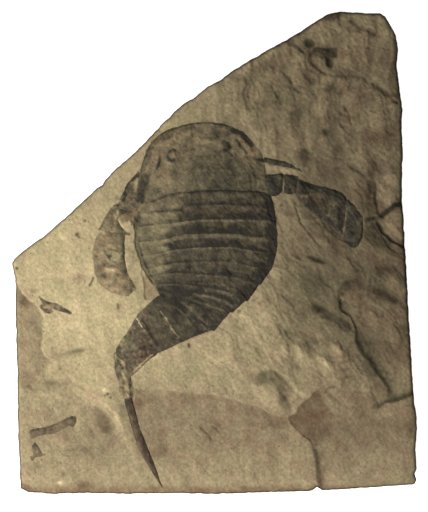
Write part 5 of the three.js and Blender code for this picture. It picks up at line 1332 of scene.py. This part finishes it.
class FOSSIL_OT_slab(bpy.types.Operator):
    """Make the slab: the relief of its face, its broken sides and its underside"""

    bl_idname = "fossil.slab"
    bl_label = "Slab"

    # heights of the rings of points down the broken sides
    LEVELS = (
        17, 16.4, 15.6, 14.8, 14, 13.4, 13, 12.2, 11.4, 10.6, 9.8, 9, 8.6, 7.8, 7, 6.2, 5.4, 4.6, 3.8, 3.2,
        2.8, 2, 1.2, 0.5, 0,
    )
    LAYERS = (3.2, 8.7, 13.2)  # heights where one layer of the sides gives way to the next
    DARK_BEDS = ((13.2, 0.25), (8.8, 0.2))  # thin dark beds: height and how much darker
    EDGE_STEP = 0.75  # distance between the points of the broken edge
    FLOOR_STEP = 2.4  # distance between the points of the underside
    SUNK = 0.6  # how far the stone lies lower under the shell
    WORN_EDGE = ((0.5, 0.5), (0.6, 2.2))  # depth and width of the worn rim, and of the slope at the right

    def execute(self, context):
        stone = context.scene.fossil_stone
        step = stone.spacing / MM
        ring = self.broken_edge(anticlockwise(np.array(SLAB_OUTLINE)))
        places, faces = triangles_in(ring, self.thinned(spots_in(ring, step), step))
        x, y = places.T
        height, tone, warmth, film = stone_surface(x, y, stone)
        hidden = hidden_depth(x, y)
        height -= self.SUNK * smooth(0.1, 0.9, hidden)
        film += 0.8 * smooth(0.4, 0.8, hidden)

        # the worn upper edge, with a dark line along it
        edge = edge_distance(SLAB_OUTLINE, x, y)
        near = edge < 2.5
        edge[near] = edge_distance(ring, x[near], y[near])
        (rim_depth, rim_width), (slope_depth, slope_width) = self.WORN_EDGE
        height -= rim_depth * bell(edge / rim_width)
        height -= slope_depth * np.exp(-edge / slope_width) * smooth(40, 64, x)
        low_edge = smooth(-80, -83.5, y)
        height -= 0.5 * low_edge
        rim = 0.40 + 0.25 * smooth(-10, 30, x) * smooth(-66, -40, y)
        tone -= 2.6 * bell(edge / rim) + 0.45 * low_edge + 0.4 * np.exp(-edge / 2.0) * smooth(50, 64, x)
        warmth += 0.6 * low_edge

        # the broken sides, ring by ring from the top
        points = [np.column_stack([places, height])]
        all_faces = [faces]
        side_tones = []
        count = len(ring)
        outwards = self.outwards(ring)
        walked = np.cumsum(np.linalg.norm(np.diff(ring, axis=0, append=ring[:1]), axis=1))
        upper = np.arange(count)
        total = len(places)
        for z in self.LEVELS:
            draw, side_tone = self.side(walked, z)
            down = np.minimum(z, height[:count] - 0.25)
            points.append(np.column_stack([ring - outwards * draw[:, None], down]))
            lower = total + np.arange(count)
            all_faces.append(ring_faces(upper, lower))
            side_tones.append(side_tone)
            upper = lower
            total += count

        # the flat underside
        floor_ring = points[-1][:, :2]
        floor_spots = spots_in(floor_ring, self.FLOOR_STEP)
        floor_places, floor = triangles_in(floor_ring, floor_spots)
        inner = total - count + np.arange(len(floor_places))
        points.append(np.column_stack([floor_spots, np.zeros(len(floor_spots))]))
        all_faces.append(inner[floor][:, ::-1])
        side_tone = np.concatenate([*side_tones, np.full(len(floor_spots), -0.5)])
        colours = {
            "tone": np.concatenate([tone, side_tone]),
            "warmth": np.concatenate([warmth, np.full(len(side_tone), 0.3)]),
            "film": np.concatenate([film, np.zeros(len(side_tone))]),
        }
        add_piece("slab_stone", "slab", np.vstack(points), np.vstack(all_faces), colours, stone_material())
        return {"FINISHED"}

    def outwards(self, ring):
        """The way out of the outline at each of its points."""
        lean = np.roll(ring, -1, axis=0) - np.roll(ring, 1, axis=0)
        return np.column_stack([lean[:, 1], -lean[:, 0]]) / np.linalg.norm(lean, axis=1)[:, None]

    def broken_edge(self, ring):
        """The outline in short steps, with small chips along it."""
        runs = np.linalg.norm(np.diff(ring, axis=0, append=ring[:1]), axis=1)
        walked = np.concatenate([[0], np.cumsum(runs)])
        places = np.linspace(0, walked[-1], round(walked[-1] / self.EDGE_STEP), endpoint=False)
        closed = np.vstack([ring, ring[:1]])
        fine = np.column_stack([np.interp(places, walked, closed[:, k]) for k in range(2)])
        chips = 0.25 * noise(places, places * 0, 5.5, 21) + 0.2 * noise(places, places * 0, 2.1, 22)
        return fine - self.outwards(fine) * (0.05 + np.abs(chips))[:, None]

    def thinned(self, spots, step):
        """The spots without most of those that the shell hides, since nothing shows there."""
        hidden = hidden_depth(*spots.T) > 1.4
        cells = np.round(spots / step).astype(int)
        kept = (cells[:, 0] % 3 == 0) & (cells[:, 1] % 3 == 0)
        return spots[~hidden | kept]

    def side(self, walked, z):
        """How far the broken side is drawn in at one level, and its tone."""
        line = np.full(walked.shape, z)
        layer = np.searchsorted(self.LAYERS, z)
        step_in = 0.5 + 0.55 * noise(walked, line * 0 + 9 * layer, 16.0, 23 + layer)
        hackle = 0.4 * noise(walked, line * 1.4, 8.0, 24) + 0.3 * noise(walked, line * 3, 4.5, 25)
        below_top = smooth(17.6, 15.0, line)
        draw = below_top * np.clip(step_in + hackle, 0.05, None) + 0.06
        tone = 0.25 * noise(walked, line * 3, 9.0, 26) + 0.3 * noise(walked, line * 12, 14.0, 27)
        tone -= 0.45 + sum(darker * (abs(z - bed) < 0.3) for bed, darker in self.DARK_BEDS)
        return draw, tone


class FOSSIL_OT_carapace(bpy.types.Operator):
    """Make the head shield with its rim and both eyes"""

    bl_idname = "fossil.carapace"
    bl_label = "Head shield"

    WIDTH = 46  # of the head shield, for the height of its vault
    VAULT_REACH = 20  # distance from the margin at which the vault levels off
    RIM = 0.12  # height of the thickened rim
    # the eyes, with the dip in the left one: centre, half widths, turn in degrees and height
    EYES = (
        (-14.6, 33.4, 1.4, 1.9, 0, 0.5), (-14.2, 33.2, 0.6, 0.8, 0, -0.2), (3.8, 36.8, 1.5, 1.9, 20, 0.45),
    )

    def execute(self, context):
        crown = context.scene.fossil_shell.crown

        def height_of(x, y, depth_in):
            margin = distance_to(CARAPACE_MARGIN, x, y)
            rise = 1 - (1 - np.clip(margin / self.VAULT_REACH, 0, 1)) ** 2
            high = crown * self.WIDTH * rise
            high += self.RIM * bell((margin - 0.7) / 0.5) * smooth(12, 2, x)
            for cx, cy, rx, ry, degrees, rise in self.EYES:
                high += rise * blob(x, y, cx, cy, rx, ry, degrees)
            return high

        def cover(x, y):
            margin = distance_to(CARAPACE_MARGIN, x, y)
            edge = bell((margin - 0.35) / 0.35) * (0.10 + 0.26 * smooth(14, 6, x))
            patchy = 0.08 * noise(x, y, 3.6, 135) + 0.06 * noise(x, y, 1.7, 137)
            return 0.47 + 0.06 * smooth(-16, 4, x) * smooth(38, 28, y) + edge + patchy

        outline = np.vstack([spaced(CARAPACE_MARGIN, 1.2), spaced(CARAPACE_REAR, 1.2)[::-1][1:-1]])
        add_plate("carapace", outline, height_of, cover, trunk=True)
        return {"FINISHED"}


class FOSSIL_OT_back_plates(bpy.types.Operator):
    """Make the overlapping back plates and the last plate before the tail spine"""

    bl_idname = "fossil.back_plates"
    bl_label = "Back plates"

    # where the thick, dark part of the trunk begins: y and x
    THICK_FROM = ((-16, -24), (-8, -17), (3, -16.5), (14, -12.2), (20, -10))

    def execute(self, context):
        shell = context.scene.fossil_shell
        for number in range(len(TERGITES)):
            self.add_tergite(number, shell)
        dark, warm, _, soft, outline = SHELLS["pretelson"]

        def last_height(x, y, depth_in):
            return vault_of(x, y, shell)

        def last_cover(x, y):
            return dark + 0.24 * rough(x, y, 1.5, 2, 131) + 0.12 * noise(x, y, 3.4, 133)

        add_plate("pretelson", outline, last_height, last_cover, warm, soft, True)
        return {"FINISHED"}

    def add_tergite(self, number, shell):
        """One back plate: it rises towards its rear margin and is darkest just in front of it."""
        _, band, pale, pale_width, _ = TERGITES[number]
        outline, front, behind = tergite_outline(number)
        front_line = [*front[::6], front[-1]]
        rear_line = [*behind[::6], behind[-1]]

        def across(x, y):
            """The share of the way to the rear margin, and the distances to the front and rear ones."""
            ahead = distance_to(front_line, x, y)
            back = distance_to(rear_line, x, y)
            return ahead / np.maximum(ahead + back, 0.05), ahead, back

        def height_of(x, y, depth_in):
            share, ahead, _ = across(x, y)
            return vault_of(x, y, shell) + shell.lift / MM * share**2 - 0.04 * np.exp(-ahead / 0.5)

        def cover(x, y):
            share, ahead, back = across(x, y)
            ragged_x = x + 2.2 * noise(x, 1.6 * y, 3.4, 121) + 1.2 * noise(x, 2 * y, 1.5, 129)
            thick = smooth(-2.6, 2.6, ragged_x - np.interp(y, *zip(*self.THICK_FROM)))
            along = noise(x, 3.0 * y, 5.0, 123)
            flank = distance_to(TRUNK_RIGHT, x, y)
            dark = 0.46 + 0.30 * thick + 0.10 * along + 0.06 * smooth(0, -14, y) * smooth(-20, -8, x)
            # darker along the right flank: thick shell, and painted shade where the vault slopes away from
            # the light
            dark += 0.14 * smooth(4.5, 1.0, flank) * smooth(-20, 0, y)
            # pale front
            pale_here = pale * (0.5 + 0.5 * thick) * (1 - 0.3 * smooth(8, 20, x)) * smooth(0.5, 4.5, flank)
            dark -= pale_here * smooth(1.5, 0.8, ahead / pale_width) * (0.85 + 0.5 * along)
            # dark band that grows towards the rear
            ragged_share = share + 0.18 * noise(x, y, 2.2, 129)
            band_here = band * smooth(0.05, 0.85, ragged_share) * (0.3 + 0.7 * thick)
            dark += band_here * (0.9 + 0.6 * noise(x, y, 5.0, 127))
            # dark line along the rear margin
            return dark + 0.18 * bell(back / 0.7) * np.clip(0.8 + 0.7 * noise(x, y, 3.0, 125), 0.2, None)

        add_plate(f"tergite_{number + 1:02d}", outline, height_of, cover, trunk=True)


class FOSSIL_OT_tail_spine(bpy.types.Operator):
    """Make the crushed root of the tail spine and the spine itself"""

    bl_idname = "fossil.tail_spine"
    bl_label = "Tail spine"

    def execute(self, context):
        dark, warm, _, soft, outline = SHELLS["telson_base"]

        def crushed(x, y, depth_in):
            return 0.35 * smooth(0, 1.2, depth_in) * (1 + 0.9 * rough(x, y, 1.5, 2, 101))

        add_plate("telson_base", outline, crushed, dark, warm, soft)
        add_spike("telson", TELSON_PATH, 0.26, 0.80, 0.7)
        return {"FINISHED"}


def add_spike(node, path, flatness, dark, warm):
    """A long tapering piece: a flattened round section that follows a path of centres and half widths."""
    scene = bpy.context.scene
    tree = bpy.data.node_groups.get("Tapered spike") or spike_tree()
    curve = bpy.data.curves.new(node + "_path", "CURVE")
    curve.dimensions = "3D"
    line = curve.splines.new("POLY")
    centres = spaced(path, scene.fossil_shell.spacing / MM)
    line.points.add(len(centres) - 1)
    ground = stone_surface(centres[:, 0], centres[:, 1], scene.fossil_stone)[0]
    for point, (x, y, half), z in zip(line.points, centres, ground):
        point.co = (x * MM, y * MM, (z - 0.05) * MM, 1)
        point.radius = half
    guide = bpy.data.objects.new(node + "_path", curve)
    scene.collection.objects.link(guide)
    modifier = guide.modifiers.new("Spike", "NODES")
    modifier.node_group = tree
    values = {
        "Section size": MM, "Flatness": flatness, "Sides": 28, "Unevenness": 0.05 * MM,
        "Material": shell_material(),
    }
    for item in tree.interface.items_tree:
        if item.item_type == "SOCKET" and item.in_out == "INPUT" and item.name in values:
            modifier[item.identifier] = values[item.name]
    shown = guide.evaluated_get(bpy.context.evaluated_depsgraph_get())
    mesh = bpy.data.meshes.new_from_object(shown)
    bpy.data.objects.remove(guide)
    bpy.data.curves.remove(curve)
    corners = np.empty(len(mesh.vertices) * 3)
    mesh.vertices.foreach_get("co", corners)
    corners = corners.reshape(-1, 3) / MM
    x, y = corners[:, :2].T
    tone = stone_surface(x, y, scene.fossil_stone)[1]
    film, warmth = shell_colour(x, y, dark)
    faces = [list(polygon.vertices) for polygon in mesh.polygons]
    bpy.data.meshes.remove(mesh)
    colours = {"tone": tone, "warmth": warmth + warm, "film": film}
    add_piece("shell_" + node, node, corners, faces, colours, shell_material())


def spike_tree():
    """Node group: sweeps a flattened circle along the path, as wide as the path's radius."""
    tree = bpy.data.node_groups.new("Tapered spike", "GeometryNodeTree")
    tree.interface.new_socket("Path", in_out="INPUT", socket_type="NodeSocketGeometry")
    for name, kind in (
        ("Section size", "Float"), ("Flatness", "Float"), ("Sides", "Int"), ("Unevenness", "Float"),
        ("Material", "Material"),
    ):
        tree.interface.new_socket(name, in_out="INPUT", socket_type="NodeSocket" + kind)
    tree.interface.new_socket("Spike", in_out="OUTPUT", socket_type="NodeSocketGeometry")
    add = functools.partial(add_node, tree)
    given = add("NodeGroupInput", {}, {})

    # the flattened section, swept along the path
    links = {"Resolution": given["Sides"], "Radius": given["Section size"]}
    circle = add("GeometryNodeCurvePrimitiveCircle", {}, links)["Curve"]
    squash = add("ShaderNodeCombineXYZ", {}, {"X": 1.0, "Y": given["Flatness"], "Z": 1.0})[0]
    section = add("GeometryNodeTransform", {}, {"Geometry": circle, "Scale": squash})[0]
    upright = add("GeometryNodeSetCurveNormal", {"mode": "Z_UP"}, {"Curve": given["Path"]})[0]
    radius = add("GeometryNodeInputRadius", {}, {})[0]
    links = {"Curve": upright, "Profile Curve": section, "Scale": radius, "Fill Caps": True}
    swept = add("GeometryNodeCurveToMesh", {}, links)["Mesh"]

    # small unevenness of its surface
    bumps = add("ShaderNodeTexNoise", {}, {"Scale": 900.0, "Detail": 2.0})["Fac"]
    centred = add("ShaderNodeMath", {"operation": "SUBTRACT"}, {0: bumps, 1: 0.5})[0]
    push = add("ShaderNodeMath", {"operation": "MULTIPLY"}, {0: centred, 1: given["Unevenness"]})[0]
    normal = add("GeometryNodeInputNormal", {}, {})[0]
    offset = add("ShaderNodeVectorMath", {"operation": "SCALE"}, {0: normal, "Scale": push})[0]
    moved = add("GeometryNodeSetPosition", {}, {"Geometry": swept, "Offset": offset})[0]
    real = add("GeometryNodeRealizeInstances", {}, {"Geometry": moved})[0]
    done = add("GeometryNodeSetMaterial", {}, {"Geometry": real, "Material": given["Material"]})[0]
    add("NodeGroupOutput", {}, {"Spike": done})
    return tree


def add_shells(*names):
    """Plain crowned pieces of shell, each from its outline."""
    for name in names:
        dark, warm, crown, soft, outline = SHELLS[name]

        def height_of(x, y, depth_in, crown=crown):
            return crown * (1 - (1 - np.clip(depth_in / 3.0, 0, 1)) ** 2) + 0.08 * rough(x, y, 2.6, 2, 111)

        add_plate(name, outline, height_of, dark, warm, soft)


class FOSSIL_OT_left_leg(bpy.types.Operator):
    """Make the pale swimming leg at the left, with its paddle"""

    bl_idname = "fossil.left_leg"
    bl_label = "Left swimming leg"

    def execute(self, context):
        add_shells("left_leg_base", "left_leg_segment", "left_paddle")
        return {"FINISHED"}


class FOSSIL_OT_right_leg(bpy.types.Operator):
    """Make the dark swimming leg at the right, with its paddle, and the thin leg above it"""

    bl_idname = "fossil.right_leg"
    bl_label = "Right legs"

    def execute(self, context):
        add_shells("right_leg_base", "right_leg_knee", "right_leg_segment", "right_paddle")
        add_spike("walking_leg", WALKING_LEG_PATH, 0.3, 0.86, -0.6)
        return {"FINISHED"}


class FOSSIL_OT_loose_shell(bpy.types.Operator):
    """Make the loose bits of shell near the left edge"""

    bl_idname = "fossil.loose_shell"
    bl_label = "Loose bits"

    def execute(self, context):
        add_shells("cuticle_strip", "cuticle_chip", "cuticle_twig")
        return {"FINISHED"}


class FOSSIL_OT_stage(bpy.types.Operator):
    """Make the pale floor, the soft lights and the camera above the slab"""

    bl_idname = "fossil.stage"
    bl_label = "Stage"

    IMAGE_HEIGHT = 512  # in pixels
    IMAGE_CENTRE = (-0.2, -1.1)  # where the middle of the picture lies on the bedding plane
    SENSOR = 36  # width of the camera's sensor in mm
    CLIP = (0.05, 10)  # the camera sees between these distances, in metres
    FLOOR_HALF = 2.0  # metres
    LIGHT_PLACE = (-0.36, -0.24, 0.34)  # metres, above the slab at its lower left
    LIGHT_SIZE = 0.22  # metres
    LIGHT_COLOUR = (1.0, 0.985, 0.95)

    def execute(self, context):
        stage = context.scene.fossil_stage
        self.add_floor(stage)
        self.add_lights(context, stage)
        self.add_camera(context, stage)
        context.scene.view_settings.view_transform = "Standard"
        return {"FINISHED"}

    def add_floor(self, stage):
        mesh = bpy.data.meshes.new("floor")
        half = self.FLOOR_HALF
        corners = [(-half, -half, 0), (half, -half, 0), (half, half, 0), (-half, half, 0)]
        mesh.from_pydata(corners, [], [(0, 1, 2, 3)])
        material = bpy.data.materials.new("Light table, white")
        material.use_nodes = True
        shader = material.node_tree.nodes["Principled BSDF"].inputs
        shader["Base Color"].default_value = (*stage.floor_colour, 1)
        shader["Roughness"].default_value = 0.9
        shader["Emission Color"].default_value = (1, 1, 1, 1)
        shader["Emission Strength"].default_value = stage.floor_glow
        mesh.materials.append(material)
        floor = bpy.data.objects.new("floor", mesh)
        bpy.context.scene.collection.objects.link(floor)

    def add_lights(self, context, stage):
        world = bpy.data.worlds.new("Studio")
        world.use_nodes = True
        background = world.node_tree.nodes["Background"].inputs
        background["Color"].default_value = (1, 1, 1, 1)
        background["Strength"].default_value = stage.fill
        context.scene.world = world
        light = bpy.data.lights.new("key", "AREA")
        light.shape = "DISK"
        light.size = self.LIGHT_SIZE
        light.energy = stage.key_power
        light.color = self.LIGHT_COLOUR
        key = bpy.data.objects.new("key", light)
        key.location = self.LIGHT_PLACE
        towards_slab = Vector((0, 0, BEDDING_Z * MM)) - key.location
        key.rotation_euler = towards_slab.to_track_quat("-Z", "Y").to_euler()
        context.scene.collection.objects.link(key)

    def add_camera(self, context, stage):
        data = bpy.data.cameras.new("camera")
        data.lens = stage.lens
        data.sensor_width = self.SENSOR
        distance = stage.lens / data.sensor_width * self.IMAGE_HEIGHT * stage.pixel
        camera = bpy.data.objects.new("camera", data)
        x, y = self.IMAGE_CENTRE
        camera.location = (x * MM, y * MM, BEDDING_Z * MM + distance)
        data.clip_start, data.clip_end = self.CLIP
        context.scene.collection.objects.link(camera)
        context.scene.camera = camera


class FOSSIL_PT_panel(bpy.types.Panel):
    """Lists the pieces of the fossil and their settings"""

    bl_label = "Fossil"
    bl_idname = "FOSSIL_PT_panel"
    bl_space_type = "VIEW_3D"
    bl_region_type = "UI"
    bl_category = "Fossil"

    def draw(self, context):
        scene = context.scene
        for group in (scene.fossil_stone, scene.fossil_shell, scene.fossil_stage):
            box = self.layout.box()
            for name in group.bl_rna.properties.keys():
                if name not in ("rna_type", "name"):
                    box.prop(group, name)
        for operator in OPERATORS:
            self.layout.operator(operator.bl_idname)


OPERATORS = (
    FOSSIL_OT_slab, FOSSIL_OT_carapace, FOSSIL_OT_back_plates, FOSSIL_OT_tail_spine, FOSSIL_OT_left_leg,
    FOSSIL_OT_right_leg, FOSSIL_OT_loose_shell, FOSSIL_OT_stage,
)
GROUPS = {"fossil_stone": StoneSettings, "fossil_shell": ShellSettings, "fossil_stage": StageSettings}


def register():
    for kind in (*GROUPS.values(), *OPERATORS, FOSSIL_PT_panel):
        bpy.utils.register_class(kind)
    for name, kind in GROUPS.items():
        setattr(bpy.types.Scene, name, bpy.props.PointerProperty(type=kind))


def unregister():
    for name in GROUPS:
        delattr(bpy.types.Scene, name)
    for kind in (FOSSIL_PT_panel, *reversed(OPERATORS), *reversed(GROUPS.values())):
        bpy.utils.unregister_class(kind)


def main():
    register()
    for operator in OPERATORS:
        group, name = operator.bl_idname.split(".")
        getattr(getattr(bpy.ops, group), name)()


if __name__ == "__main__":
    main()
